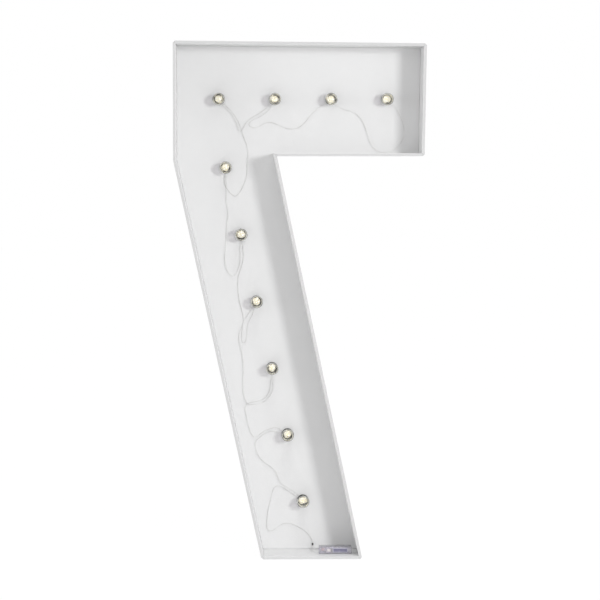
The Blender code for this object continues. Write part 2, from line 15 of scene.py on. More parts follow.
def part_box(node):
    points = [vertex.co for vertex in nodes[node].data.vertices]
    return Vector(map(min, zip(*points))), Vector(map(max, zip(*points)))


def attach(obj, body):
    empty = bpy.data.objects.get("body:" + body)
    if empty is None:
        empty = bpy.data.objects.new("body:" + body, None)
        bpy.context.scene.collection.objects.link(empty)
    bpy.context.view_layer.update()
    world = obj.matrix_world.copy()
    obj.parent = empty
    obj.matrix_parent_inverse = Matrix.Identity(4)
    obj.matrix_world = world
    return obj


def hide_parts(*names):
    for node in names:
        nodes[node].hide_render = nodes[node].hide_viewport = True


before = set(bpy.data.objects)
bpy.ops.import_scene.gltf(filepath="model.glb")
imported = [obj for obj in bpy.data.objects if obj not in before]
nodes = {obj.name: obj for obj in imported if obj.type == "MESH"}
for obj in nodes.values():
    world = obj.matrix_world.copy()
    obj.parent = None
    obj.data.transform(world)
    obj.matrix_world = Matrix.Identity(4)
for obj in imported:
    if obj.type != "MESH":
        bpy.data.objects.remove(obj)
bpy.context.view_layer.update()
bpy.ops.object.select_all(action="DESELECT")

# %% [markdown]
# The photograph was taken from far off with a long lens, from a little left of the middle and
# above it, so that the walls show only as narrow strips. Place, target and lens were fitted to the
# numeral's outline and to the widths of those strips, because a guessed view hides what is wrong with
# the shape.

# %% Camera
camera_place = Vector((-0.105, -4.5464, 0.70))
camera_target = Vector((-0.0001, -0.050, 0.4527))
sensor_width = 36.0
lens = 156.01
clip_far = 100

camera_data = bpy.data.cameras.new("camera")
camera_data.sensor_width = sensor_width
camera_data.lens = lens
camera_data.clip_end = clip_far
camera = bpy.data.objects.new("camera", camera_data)
bpy.context.scene.collection.objects.link(camera)
camera.location = camera_place
camera.rotation_euler = (camera_target - camera_place).to_track_quat("-Z", "Y").to_euler()
bpy.context.scene.camera = camera
print("camera", tuple(camera.location), "lens", lens)

# %% [markdown]
# ## The wire of the light string
# Ten loose stretches of wire join the case and the bulbs. The real wire is two fine lacquered
# strands twisted together. It lies on the panel, and where two stretches cross, one is lifted a
# little over the other. The panel's front and a bulb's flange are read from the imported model's own
# boxes, and the other sizes are the wire's.

# %% Sizes that the wire starts from
panel_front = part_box("back_panel")[0].y
flange_low, flange_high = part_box("lamp_holder_01")
flange_radius = (flange_high.x - flange_low.x) / 2
wire_diameter = 0.0010
fit_gap = 0.0003
lift_low = 0.0011
lift_high = 0.0027
print("flange", round(flange_radius * 2000, 1), "mm across, wire", wire_diameter * 1000, "mm")

# %% [markdown]
# A cord has a fixed route and length, so each stretch follows its own line: places chosen along the
# wire in the photograph, as (x, z) on the panel. They are those of the imported model, but the two
# sharpest turns are drawn a little rounder, since even a limp wire doesn't fold flat. The key names
# the two bulbs that the stretch joins.

# %% Routes from bulb to bulb
wire_routes = {
    (10, 9): [
        (-0.0059, 0.1065), (-0.0156, 0.1123), (-0.0254, 0.1176), (-0.0325, 0.1235), (-0.0365, 0.1315),
        (-0.0408, 0.1422), (-0.0484, 0.1511), (-0.0591, 0.1583), (-0.0688, 0.1675), (-0.0754, 0.1796),
        (-0.0771, 0.1921), (-0.0745, 0.1996), (-0.0670, 0.2058), (-0.0581, 0.2120), (-0.0475, 0.2150),
    ],
    (9, 8): [
        (-0.0395, 0.2217), (-0.0493, 0.2201), (-0.0599, 0.2161), (-0.0688, 0.2102), (-0.0768, 0.2049),
        (-0.0826, 0.2072), (-0.0869, 0.2170), (-0.0904, 0.2286), (-0.0930, 0.2410), (-0.0953, 0.2525),
        (-0.0935, 0.2614), (-0.0865, 0.2662), (-0.0758, 0.2676), (-0.0652, 0.2712), (-0.0572, 0.2777),
        (-0.0523, 0.2871), (-0.0505, 0.2978),
    ],
    (8, 7): [
        (-0.0457, 0.2978), (-0.0473, 0.2862), (-0.0537, 0.2747), (-0.0634, 0.2671), (-0.0749, 0.2635),
        (-0.0856, 0.2623), (-0.0930, 0.2671), (-0.0971, 0.2792), (-0.0992, 0.2943), (-0.0985, 0.3111),
        (-0.0979, 0.3298), (-0.0997, 0.3484), (-0.1032, 0.3635), (-0.1058, 0.3777), (-0.1049, 0.3901),
        (-0.1009, 0.4007), (-0.0964, 0.4104), (-0.0908, 0.4211),
    ],
    (7, 6): [
        (-0.0831, 0.4202), (-0.0879, 0.4113), (-0.0915, 0.4007), (-0.0913, 0.3883), (-0.0938, 0.3771),
        (-0.0962, 0.3726), (-0.0995, 0.3728), (-0.1009, 0.3785), (-0.1005, 0.3909), (-0.0987, 0.4034),
        (-0.0984, 0.4166), (-0.1014, 0.4308), (-0.1049, 0.4450), (-0.1073, 0.4600), (-0.1080, 0.4751),
        (-0.1070, 0.4892), (-0.1031, 0.5016), (-0.0992, 0.5157), (-0.0981, 0.5281),
    ],
    (6, 5): [
        (-0.1037, 0.5369), (-0.1030, 0.5246), (-0.1045, 0.5113), (-0.1087, 0.4989), (-0.1149, 0.4905),
        (-0.1220, 0.4935), (-0.1278, 0.5034), (-0.1306, 0.5175), (-0.1302, 0.5334), (-0.1284, 0.5493),
        (-0.1275, 0.5661), (-0.1266, 0.5829), (-0.1249, 0.5979), (-0.1263, 0.6129), (-0.1280, 0.6279),
        (-0.1278, 0.6429),
    ],
    (5, 1): [
        (-0.1315, 0.6552), (-0.1273, 0.6455), (-0.1206, 0.6362), (-0.1123, 0.6311), (-0.1042, 0.6379),
        (-0.0971, 0.6517), (-0.0918, 0.6685), (-0.0912, 0.6870), (-0.0898, 0.7055), (-0.0919, 0.7204),
        (-0.0974, 0.7345), (-0.1016, 0.7486), (-0.1076, 0.7636), (-0.1164, 0.7771), (-0.1252, 0.7864),
    ],
    (1, 2): [
        (-0.1278, 0.7845), (-0.1197, 0.7759), (-0.1120, 0.7636), (-0.1071, 0.7512), (-0.1052, 0.7453),
        (-0.1018, 0.7449), (-0.0988, 0.7493), (-0.0936, 0.7588), (-0.0861, 0.7666), (-0.0755, 0.7729),
        (-0.0649, 0.7798), (-0.0564, 0.7868),
    ],
    (2, 3): [
        (-0.0529, 0.7829), (-0.0617, 0.7750), (-0.0732, 0.7683), (-0.0846, 0.7627), (-0.0877, 0.7557),
        (-0.0804, 0.7509), (-0.0698, 0.7539), (-0.0600, 0.7592), (-0.0490, 0.7606), (-0.0376, 0.7566),
        (-0.0252, 0.7511), (-0.0129, 0.7490), (-0.0005, 0.7518), (0.0101, 0.7604), (0.0194, 0.7719),
        (0.0295, 0.7825), (0.0397, 0.7898),
    ],
    (3, 4): [
        (0.0718, 0.7869), (0.0824, 0.7823), (0.0930, 0.7800), (0.1027, 0.7740), (0.1103, 0.7654),
        (0.1160, 0.7540), (0.1202, 0.7407), (0.1246, 0.7275), (0.1315, 0.7159), (0.1416, 0.7094),
        (0.1531, 0.7083), (0.1646, 0.7112), (0.1752, 0.7194), (0.1826, 0.7311), (0.1852, 0.7443),
        (0.1831, 0.7584), (0.1777, 0.7725), (0.1710, 0.7851),
    ],
}
print("stretches", len(wire_routes))

# %% [markdown]
# The first stretch is the lead. It leaves the case to the left, drops to the foot, runs back to the
# panel, climbs through the black sleeve, and goes on to the lowest bulb.

# %% Route from the case to the lowest bulb
lead_route = [
    (0.0290, -0.0060, 0.0108), (0.0240, -0.0035, 0.0082), (0.0212, 0.0045, 0.0064),
    (0.0205, 0.0160, 0.0061), (0.0212, 0.0270, 0.0064), (0.0228, 0.0345, 0.0080),
    (0.0240, 0.0374, 0.0108), (0.0243, 0.0380, 0.0138), (0.0238, 0.0380, 0.0172),
    (0.0224, 0.0388, 0.0225), (0.0163, 0.0389, 0.0316), (0.0066, 0.0389, 0.0397),
    (-0.0041, 0.0389, 0.0459), (-0.0165, 0.0389, 0.0508), (-0.0272, 0.0389, 0.0504),
    (-0.0360, 0.0389, 0.0460), (-0.0449, 0.0389, 0.0389), (-0.0529, 0.0389, 0.0374),
    (-0.0570, 0.0389, 0.0451), (-0.0565, 0.0389, 0.0594), (-0.0550, 0.0389, 0.0736),
    (-0.0520, 0.0389, 0.0879), (-0.0484, 0.0389, 0.1021), (-0.0440, 0.0389, 0.1146),
    (-0.0360, 0.0389, 0.1176), (-0.0271, 0.0389, 0.1141), (-0.0183, 0.0389, 0.1087),
    (-0.0094, 0.0389, 0.1021),
]
sleeve_route_place = 7
print("lead places", len(lead_route))

# %% [markdown]
# Each wire leaves a bulb square to the round flange, on the side that faces where it goes next. The
# bulbs' own boxes give these places, so that every wire still meets its bulb if one is moved.

# %% Where a wire leaves a bulb
def middle_of(node):
    low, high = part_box(node)
    return (low + high) / 2


def bulb_middle(number):
    """The point on the front of the panel where a bulb's own axis meets it."""
    middle = middle_of(f"lamp_holder_{number:02d}")
    return Vector((middle.x, panel_front, middle.z))


def flange_exit(number, towards, lift):
    """Where a wire leaves a bulb's flange, square to it, on the way to a place."""
    middle = bulb_middle(number)
    outwards = Vector((towards[0] - middle.x, 0, towards[1] - middle.z)).normalized()
    return middle + outwards * (flange_radius + fit_gap) - Vector((0, lift, 0))


print("lowest bulb at", tuple(round(value, 4) for value in bulb_middle(10)))

# %% [markdown]
# A Catmull-Rom curve passes through each chosen place, with no corners between them. It is read
# every millimetre, which is fine enough for two strands that turn round each other every 6 mm.

# %% A smooth line through places
line_step = 0.0010


def smooth_line(places, step):
    """Points about a step apart on a smooth curve through all the places."""
    ends = [2 * places[0] - places[1]] + places + [2 * places[-1] - places[-2]]
    line = [places[0]]
    for before, start, end, after in zip(ends, ends[1:], ends[2:], ends[3:]):
        count = max(1, round((end - start).length / step))
        for part in range(1, count + 1):
            share = part / count
            line.append(0.5 * (
                2 * start + (end - before) * share
                + (2 * before - 5 * start + 4 * end - after) * share ** 2
                + (3 * start - before - 3 * end + after) * share ** 3
            ))
    return line


def line_length(line):
    return sum((end - start).length for start, end in zip(line, line[1:]))


print("lead's places span", round(line_length([Vector(place) for place in lead_route]), 3), "m")

# %% [markdown]
# A strand needs two directions across the line at each point. They are carried along from point to
# point and only straightened, never chosen anew, so that the strand doesn't twist by itself.

# %% Directions across a line
def line_frames(line):
    """At each point of a line: the point, two directions across it, and the length so far."""
    across = Vector((0, 1, 0))
    run = 0.0
    found = []
    for place, point in enumerate(line):
        ahead = line[min(place + 1, len(line) - 1)] - line[max(place - 1, 0)]
        ahead.normalize()
        across = (across - ahead * across.dot(ahead)).normalized()
        if place:
            run += (point - line[place - 1]).length
        found.append((point, across.copy(), ahead.cross(across), run))
    return found


print("frames on a straight line", len(line_frames([Vector((0, 0, level)) for level in range(3)])))

# %% [markdown]
# Each strand is a thin six-sided tube whose middle circles the line. The two strands are half a turn
# apart. Rings of corners are joined by faces in code, because a curve's bevel can't wind two strands
# together, and the ends are closed.

# %% Two twisted strands
turn_length = 0.0062
strand_radius = 0.00024
strand_offset = 0.00025
strand_sides = 6


def twisted_wire(name, line):
    """Two strands that turn round each other along a line, as one piece."""
    corners = []
    faces = []
    for strand in range(2):
        first = len(corners)
        frames = line_frames(line)
        for point, across, beside, run in frames:
            turn = math.tau * run / turn_length + math.pi * strand
            middle = point + (across * math.cos(turn) + beside * math.sin(turn)) * strand_offset
            for side in range(strand_sides):
                angle = math.tau * side / strand_sides
                corners.append(middle + (across * math.cos(angle) + beside * math.sin(angle)) * strand_radius)
        for ring in range(len(frames) - 1):
            start = first + ring * strand_sides
            for side in range(strand_sides):
                following = (side + 1) % strand_sides
                faces.append((
                    start + side, start + following,
                    start + strand_sides + following, start + strand_sides + side,
                ))
        last = first + (len(frames) - 1) * strand_sides
        faces.append(tuple(first + side for side in reversed(range(strand_sides))))
        faces.append(tuple(last + side for side in range(strand_sides)))
    mesh = bpy.data.meshes.new(name)
    mesh.from_pydata(corners, [], faces)
    mesh.shade_smooth()
    wire = bpy.data.objects.new(name, mesh)
    bpy.context.scene.collection.objects.link(wire)
    return wire


print("strands turn every", turn_length * 1000, "mm")

# %% [markdown]
# Now the nine stretches from bulb to bulb are made. Each rides on the numeral and takes the place of
# its plain node. Every second one lies higher.

# %% Nine stretches between the bulbs
wires = []
whole_length = 0.0
for place, ((first, last), route) in enumerate(wire_routes.items()):
    lift = lift_high if place % 2 == 0 else lift_low
    places = [Vector((x, panel_front - lift, z)) for x, z in route]
    places.insert(0, flange_exit(first, route[0], lift))
    places.append(flange_exit(last, route[-1], lift))
    line = smooth_line(places, line_step)
    wire = twisted_wire(f"twisted_wire_{first:02d}_to_{last:02d}", line)
    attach(wire, "number")
    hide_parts(f"wire_bulb_{first:02d}_to_{last:02d}")
    line_length(line)
    wires.append(wire)
    whole_length += line_length(line)
print("stretches", len(wires), "length", round(whole_length, 3), "m")

# %% [markdown]
# The lead starts in the middle of the case's gland and first runs straight out of it, as a wire does
# that is held in a bore. It is made like the others.

# %% The lead from the case
cap_low, cap_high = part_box("case_end_cap")
cap_middle = middle_of("case_end_cap")
gland = Vector((cap_low.x - fit_gap, cap_middle.y, cap_middle.z))
gland_run = 0.0012
lead = [Vector(place) for place in lead_route]
lead_places = [gland, gland - Vector((gland_run, 0, 0))] + lead
lead_places.append(flange_exit(10, (lead[-1].x, lead[-1].z), lift_low))
lead_line = smooth_line(lead_places, line_step)
lead_wire = twisted_wire("twisted_wire_case_to_10", lead_line)
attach(lead_wire, "number")
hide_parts("wire_case_to_bulb_10")
wires.append(lead_wire)
whole_length += line_length(lead_line)
print("wires", len(wires), "whole length", round(whole_length, 3), "m")

# %% [markdown]
# ## Materials
# Shader maths reads like ordinary sums with one small class: it wraps a socket, and +, - and *
# between wrapped sockets add Math nodes. Any other node comes from one method, which takes its type,
# its settings, and what goes into its sockets.

# %% A small class for shader sums
class Sum:
    """A socket that can be used in sums, or the start of a material's sums, with no socket yet."""

    def __init__(self, tree, value):
        self.tree = tree
        self.value = value

    def node(self, kind, settings=None, sockets=None, out=0):
        """Add any node: its type, its settings, and what goes into its sockets."""
        made = self.tree.nodes.new(kind)
        for key, setting in (settings or {}).items():
            setattr(made, key, setting)
        for key, value in (sockets or {}).items():
            self.feed(made.inputs[key], value)
        return Sum(self.tree, made.outputs[out])

    def feed(self, socket, value):
        """Link a socket to a sum, or set it to a plain value."""
        value = value.value if isinstance(value, Sum) else value
        if isinstance(value, bpy.types.NodeSocket):
            self.tree.links.new(value, socket)
        else:
            socket.default_value = value

    def maths(self, operation, *values):
        return self.node("ShaderNodeMath", {"operation": operation}, dict(enumerate(values)))

    def __add__(self, other):
        return self.maths("ADD", self, other)

    def __radd__(self, other):
        return self.maths("ADD", other, self)

    def __sub__(self, other):
        return self.maths("SUBTRACT", self, other)

    def __rsub__(self, other):
        return self.maths("SUBTRACT", other, self)

    def __mul__(self, other):
        return self.maths("MULTIPLY", self, other)

    def __rmul__(self, other):
        return self.maths("MULTIPLY", other, self)

    def above(self, level, softness):
        """1 where the value is over a level, 0 where it is under it, with a soft step."""
        return self.node(
            "ShaderNodeMapRange", {"interpolation_type": "SMOOTHSTEP"},
            {"Value": self, "From Min": level - softness, "From Max": level + softness},
        )

    def blend(self, first, second):
        """A colour between two, by this value."""
        return self.node(
            "ShaderNodeMix", {"data_type": "RGBA"}, {"Factor": self, "A": first, "B": second}, out=2,
        )


print("shader sums ready")

# %% [markdown]
# Every finish starts from the Principled shader with a colour, a roughness and a share of metal. Its
# patterns are noise on Object coordinates, so a grain keeps its real size and stays on its piece.
# Relief too fine to model goes through a Bump node, whose distance is the real height in metres.

# %% Start of every finish
def new_material(name, colour, roughness, metallic=0.0):
    """A material with its Principled shader, and the start of its sums."""
    material = bpy.data.materials.new(name)
    material.use_nodes = True
    shader = material.node_tree.nodes["Principled BSDF"]
    shader.inputs["Base Color"].default_value = (*colour, 1.0)
    shader.inputs["Roughness"].default_value = roughness
    shader.inputs["Metallic"].default_value = metallic
    return material, shader, Sum(material.node_tree, None)


def dress(piece, material):
    piece.data.materials.clear()
    piece.data.materials.append(material)


print("materials before the first finish", len(bpy.data.materials))

# %% Patterns, roughness and relief
def object_place(sums):
    """Each point's place on the object, in metres."""
    return sums.node("ShaderNodeTexCoord", out="Object")


def axis_of(sums, place, axis):
    """A place's distance along one axis, X, Y or Z."""
    return sums.node("ShaderNodeSeparateXYZ", {}, {"Vector": place}, out=axis)


def noise(sums, place, scale, detail):
    """Soft noise from 0 to 1, with about so many waves to the metre."""
    return sums.node("ShaderNodeTexNoise", {}, {"Vector": place, "Scale": scale, "Detail": detail})


def line_noise(sums, distance, scale):
    """Noise that changes with one distance only, so that it draws lines or rings."""
    return sums.node("ShaderNodeTexNoise", {"noise_dimensions": "1D"}, {"W": distance, "Scale": scale})


def vary_roughness(sums, shader, pattern, first, second):
    """Move the roughness between two values as a pattern goes from 0 to 1."""
    sums.feed(shader.inputs["Roughness"], pattern * (second - first) + first)


def bump(sums, shader, height, strength, distance):
    """Relief that is a pattern times a real height in metres."""
    relief = sums.node("ShaderNodeBump", {}, {"Height": height, "Strength": strength, "Distance": distance})
    sums.feed(shader.inputs["Normal"], relief)


print("patterns ready")

# %% [markdown]
# Foam board is a slab of foam between two sheets of smooth satin paper. The paper has a faint mottle
# and fine fibres. Only the cut edges at the open front and at the back show the core, a greyer band
# of tiny beads between two thin lines of paper. Each board's band lies across its own thickness, so
# each board gets its own finish, with the middle plane read from its broadest face.

# %% Foam board
paper_white = (0.855, 0.855, 0.855, 1.0)
paper_shade = (0.835, 0.836, 0.838, 1.0)
foam_grey = (0.710, 0.710, 0.708, 1.0)
foam_shade = (0.640, 0.641, 0.645, 1.0)
paper_sheet = 0.0004
paper_roughness = 0.33
foam_dullness = 0.45
fibre_dullness = 0.04
bead_rise = 8.0
fibre_rise = 0.2
board_relief = 0.00003
edge_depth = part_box("top_wall")[1].y
edge_margin = 0.0001
edge_softness = 0.00005
sheet_softness = 0.00008


def slab_of(piece):
    """The direction across a board, the level of its middle plane, and half its thickness."""
    broadest = max(piece.data.polygons, key=lambda face: face.area)
    across = broadest.normal.copy()
    reach = [across.dot(point.co) for point in piece.data.vertices]
    return across, (max(reach) + min(reach)) / 2, (max(reach) - min(reach)) / 2


def board_finish(piece):
    """Paper on the faces of a board, and foam between two sheets of it on the cut edges."""
    across, middle, half = slab_of(piece)
    material, shader, sums = new_material("foam_board_" + piece.name, paper_white[:3], paper_roughness)
    place = object_place(sums)
    depth = sums.maths("ABSOLUTE", axis_of(sums, place, "Y"))
    cut_edge = depth.above(edge_depth - edge_margin, edge_softness)
    side = sums.node("ShaderNodeVectorMath", {"operation": "DOT_PRODUCT"}, {0: place, 1: across}, out="Value")
    from_middle = sums.maths("ABSOLUTE", side - middle)
    core = cut_edge * (1 - from_middle.above(half - paper_sheet, sheet_softness))
    mottle = noise(sums, place, scale=90.0, detail=3.0)
    fibres = noise(sums, place, scale=1600.0, detail=4.0)
    beads = sums.node("ShaderNodeTexVoronoi", {}, {"Vector": place, "Scale": 1100.0})
    paper = mottle.blend(paper_white, paper_shade)
    foam = beads.blend(foam_grey, foam_shade)
    sums.feed(shader.inputs["Base Color"], core.blend(paper, foam))
    sums.feed(shader.inputs["Roughness"], core * foam_dullness + fibres * fibre_dullness + paper_roughness)
    pattern = beads * core * bead_rise + fibres * fibre_rise
    bump(sums, shader, pattern, strength=0.5, distance=board_relief)
    return material


board_nodes = [name for name in nodes if name.endswith("_wall") or name == "back_panel"]
for name in board_nodes:
    dress(nodes[name], board_finish(nodes[name]))
print("boards", len(board_nodes))

# %% [markdown]
# The small plastic pieces are moulded, and a steel mould leaves a fine grain that shows in the gloss.
# Each has a second tone in soft clouds, because pigment never mixes in quite evenly. The same finish
# serves the sleeve's rubber, and the coil's copper under its lacquer.

# %% Moulded plastics and rubber
cloud_share = 0.15
gloss_swing = 0.1


def moulded(name, colour, second, roughness, grain, depth):
    """A finish in two near tones, with a grain of so many specks to the metre and so deep."""
    material, shader, sums = new_material(name, colour, roughness)
    place = object_place(sums)
    cloud = noise(sums, place, scale=grain * cloud_share, detail=2.0)
    grains = noise(sums, place, scale=grain, detail=3.0)
    sums.feed(shader.inputs["Base Color"], cloud.blend((*colour, 1.0), (*second, 1.0)))
    vary_roughness(sums, shader, grains, roughness - gloss_swing, roughness + gloss_swing)
    bump(sums, shader, grains, strength=0.6, distance=depth)
    return material


dark_plastic = moulded(
    "dark_plastic", (0.012, 0.012, 0.010), (0.022, 0.021, 0.017), roughness=0.25, grain=1800.0, depth=0.00001,
)
switch_plastic = moulded(
    "switch_plastic", (0.82, 0.78, 0.78), (0.77, 0.73, 0.74), roughness=0.42, grain=2400.0, depth=0.00002,
)
copper_winding = moulded(
    "copper_winding", (0.80, 0.44, 0.40), (0.72, 0.38, 0.34), roughness=0.3, grain=1500.0, depth=0.00002,
)
black_rubber = moulded(
    "black_rubber", (0.016, 0.016, 0.016), (0.030, 0.029, 0.028), roughness=0.55, grain=2600.0, depth=0.00003,
)
print("materials so far", len(bpy.data.materials))

# %% [markdown]
# The drawer is violet. The raised rim of its front is thin, so light gets into it from all sides, and
# that light is painted on: the rim is coloured much paler than the face that it frames. The rim could
# be a piece of its own, but it is one moulding, so its painted pale tone is a mask on the distance
# from the drawer's middle.

# %% Violet drawer
rim_width = 0.0010
rim_depth = 0.0005
violet_deep = (0.20, 0.19, 0.28)
violet_deep_second = (0.23, 0.22, 0.31)
painted_pale_rim = (0.60, 0.59, 0.68, 1.0)
violet_roughness = 0.32
violet_grain = 0.00002
rim_softness = 0.0001

violet_plastic, shader, sums = new_material("violet_plastic", violet_deep, violet_roughness)
drawer_low, drawer_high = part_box("battery_drawer")
drawer_middle = (drawer_low + drawer_high) / 2
drawer_half = (drawer_high - drawer_low) / 2
place = object_place(sums)
offset = sums.node("ShaderNodeVectorMath", {"operation": "SUBTRACT"}, {0: place, 1: drawer_middle})
distances = sums.node("ShaderNodeVectorMath", {"operation": "ABSOLUTE"}, {0: offset})
side_rim = axis_of(sums, distances, "X").above(drawer_half.x - rim_width, rim_softness)
top_rim = axis_of(sums, distances, "Z").above(drawer_half.z - rim_width, rim_softness)
in_front = 1 - axis_of(sums, offset, "Y").above(rim_depth * 2 - drawer_half.y, rim_softness)
rim = sums.maths("MAXIMUM", side_rim, top_rim) * in_front
grains = noise(sums, place, scale=2400.0, detail=3.0)
violet_face = grains.blend((*violet_deep, 1.0), (*violet_deep_second, 1.0))
# Painted light: the rim takes a paler violet than the face.
sums.feed(shader.inputs["Base Color"], rim.blend(violet_face, painted_pale_rim))
vary_roughness(sums, shader, grains, violet_roughness - gloss_swing, violet_roughness + gloss_swing)
bump(sums, shader, grains, strength=0.6, distance=violet_grain)
print("drawer's rim", rim_width * 1000, "mm wide")

# %% [markdown]
# The lamp is a cream cap of milky resin over a small yellow chip. In the photograph it looks brighter
# than the light in its cup would make it, so it glows faintly. The chip shows through as a yellow
# spot in the middle, and the resin has soft patches of a deeper cream.

# %% Cream lamp
resin_pale = (1.0, 0.98, 0.90, 1.0)
resin_deep = (0.91, 0.84, 0.62, 1.0)
chip_yellow = (0.97, 0.90, 0.54, 1.0)
chip_radius = 0.0012
chip_softness = 0.0005
lamp_glow = 0.38
lamp_roughness = 0.35
patch_relief = 0.0001

cream_lamp, shader, sums = new_material("cream_lamp", resin_pale[:3], lamp_roughness)
from_axis = sums.node("ShaderNodeAttribute", {"attribute_name": "from_axis"}, out="Fac")
patches = noise(sums, object_place(sums), scale=420.0, detail=2.0)
resin = patches.above(0.5, softness=0.16).blend(resin_deep, resin_pale)
tone = from_axis.above(chip_radius, chip_softness).blend(chip_yellow, resin)
sums.feed(shader.inputs["Base Color"], tone)
sums.feed(shader.inputs["Emission Color"], tone)
shader.inputs["Emission Strength"].default_value = lamp_glow
vary_roughness(sums, shader, patches, lamp_roughness - gloss_swing, lamp_roughness + gloss_swing)
bump(sums, shader, patches, strength=0.4, distance=patch_relief)
print("chip", chip_radius * 2000, "mm across")

# %% [markdown]
# The wire is fine copper under a silver lacquer that is bright in some places and dull in others.
# Noise with a soft step gives such stretches, a centimetre or two long, in both colour and gloss.

# %% Wire lacquer
silver_dull = (0.72, 0.71, 0.70, 1.0)
silver_bright = (0.88, 0.88, 0.87, 1.0)

wire_silver, shader, sums = new_material("wire_silver", (0.80, 0.80, 0.80), roughness=0.35, metallic=0.4)
bright = noise(sums, object_place(sums), scale=60.0, detail=3.0).above(0.5, softness=0.12)
sums.feed(shader.inputs["Base Color"], bright.blend(silver_dull, silver_bright))
vary_roughness(sums, shader, bright, 0.42, 0.30)

for wire in wires:
    dress(wire, wire_silver)
print("wires dressed", len(wires))

# %% [markdown]
# Pressed steel keeps the fine rings of the tool that made it. The rings are noise on the distance
# from the cells' own axis, which runs straight up.

# %% Steel of the cells
steel_dark = (0.55, 0.55, 0.57, 1.0)
steel_light = (0.70, 0.70, 0.72, 1.0)
metal_relief = 0.00001
cell_axis = middle_of("coin_cell_lower")

cell_steel, shader, sums = new_material("cell_steel", (0.62, 0.62, 0.64), roughness=0.3, metallic=1.0)
place = object_place(sums)
spread = sums.node("ShaderNodeVectorMath", {"operation": "SUBTRACT"}, {0: place, 1: cell_axis})
flat = sums.node("ShaderNodeVectorMath", {"operation": "MULTIPLY"}, {0: spread, 1: (1.0, 1.0, 0.0)})
from_axis = sums.node("ShaderNodeVectorMath", {"operation": "LENGTH"}, {0: flat}, out="Value")
rings = line_noise(sums, from_axis, scale=9000.0)
sums.feed(shader.inputs["Base Color"], rings.blend(steel_dark, steel_light))
vary_roughness(sums, shader, rings, 0.18, 0.43)
bump(sums, shader, rings, strength=0.4, distance=metal_relief)
print("cells' axis at", tuple(round(value, 4) for value in cell_axis))

# %% [markdown]
# Spring bronze is rolled, so its lines run straight along the strip. Noise drawn out 45 times along
# one direction gives them.

# %% Spring metal
bronze_dark = (0.62, 0.57, 0.45, 1.0)
bronze_light = (0.78, 0.74, 0.62, 1.0)
rolled_scale = (200.0, 9000.0, 9000.0)

contact_metal, shader, sums = new_material("contact_metal", (0.70, 0.66, 0.55), roughness=0.3, metallic=1.0)
place = object_place(sums)
rolled = sums.node("ShaderNodeVectorMath", {"operation": "MULTIPLY"}, {0: place, 1: rolled_scale})
lines = noise(sums, rolled, scale=1.0, detail=2.0)
sums.feed(shader.inputs["Base Color"], lines.blend(bronze_dark, bronze_light))
vary_roughness(sums, shader, lines, 0.20, 0.45)
bump(sums, shader, lines, strength=0.4, distance=metal_relief)
print("rolled lines drawn out", rolled_scale[1] / rolled_scale[0], "times")

# %% [markdown]
# The circuit board is reddish resin paper with copper tracks along it under a thin lacquer. Tracks
# are etched, so they stand a little proud and break off where nothing is joined.

# %% Resin and copper tracks
track_pitch = 0.0017
track_gap_share = 0.62
track_break_share = 0.42
track_metal = 0.7
weave_rise = 0.2
track_relief = 0.00004
resin_dark = (0.56, 0.31, 0.27, 1.0)
resin_light = (0.64, 0.37, 0.33, 1.0)
copper = (0.80, 0.52, 0.40, 1.0)
circuit_roughness = 0.45

circuit_resin, shader, sums = new_material("circuit_resin", (0.60, 0.34, 0.30), circuit_roughness)
place = object_place(sums)
steps = sums.maths("FRACT", axis_of(sums, place, "Y") * (1 / track_pitch))
joined = line_noise(sums, axis_of(sums, place, "X"), scale=320.0)
track = steps.above(track_gap_share, softness=0.05) * joined.above(track_break_share, softness=0.02)
weave = noise(sums, place, scale=1500.0, detail=3.0)
resin = weave.blend(resin_dark, resin_light)
sums.feed(shader.inputs["Base Color"], track.blend(resin, copper))
sums.feed(shader.inputs["Metallic"], track * track_metal)
vary_roughness(sums, shader, weave, circuit_roughness - gloss_swing, circuit_roughness + gloss_swing)
bump(sums, shader, track + weave * weave_rise, strength=0.5, distance=track_relief)
print("tracks every", track_pitch * 1000, "mm")

# %% [markdown]
# Clear plastic shows what stands behind it. Where it is seen edge-on, its colour is painted darker:
# painted shade for the dark holder and surroundings that its rim bends and reflects. Lamps are let
# through, dimmed, so its shadow is soft and grey. A moulding is never quite even, so its surface
# ripples a little and has dull wisps.

# %% Clear plastics
clear_bending = 1.49
wisp_dullness = 0.06


def clear_finish(name, face, edge, shadow, edge_level, roughness, clearness, ripple):
    """A clear plastic: colour face on, painted darker shade edge on, and colour of the light let through."""
    material, shader, sums = new_material(name, face[:3], roughness)
    shader.inputs["Transmission Weight"].default_value = clearness
    shader.inputs["IOR"].default_value = clear_bending
    place = object_place(sums)
    facing = sums.node("ShaderNodeLayerWeight", {}, {"Blend": 0.35}, out="Facing")
    painted_edge_shade = facing.above(edge_level, softness=0.25)
    # Painted shade: faces seen edge-on take the darker edge colour.
    sums.feed(shader.inputs["Base Color"], painted_edge_shade.blend(face, edge))
    wisps = noise(sums, place, scale=700.0, detail=4.0).above(0.6, softness=0.1)
    vary_roughness(sums, shader, wisps, roughness, roughness + wisp_dullness)
    waves = noise(sums, place, scale=130.0, detail=1.0)
    bump(sums, shader, waves, strength=1.0, distance=ripple)
    through = sums.node("ShaderNodeBsdfTransparent", {}, {"Color": shadow})
    shadow_ray = sums.node("ShaderNodeLightPath", out="Is Shadow Ray")
    mixed = sums.node("ShaderNodeMixShader", {}, {0: shadow_ray, 1: shader.outputs[0], 2: through})
    sums.feed(material.node_tree.nodes["Material Output"].inputs["Surface"], mixed)
    return material


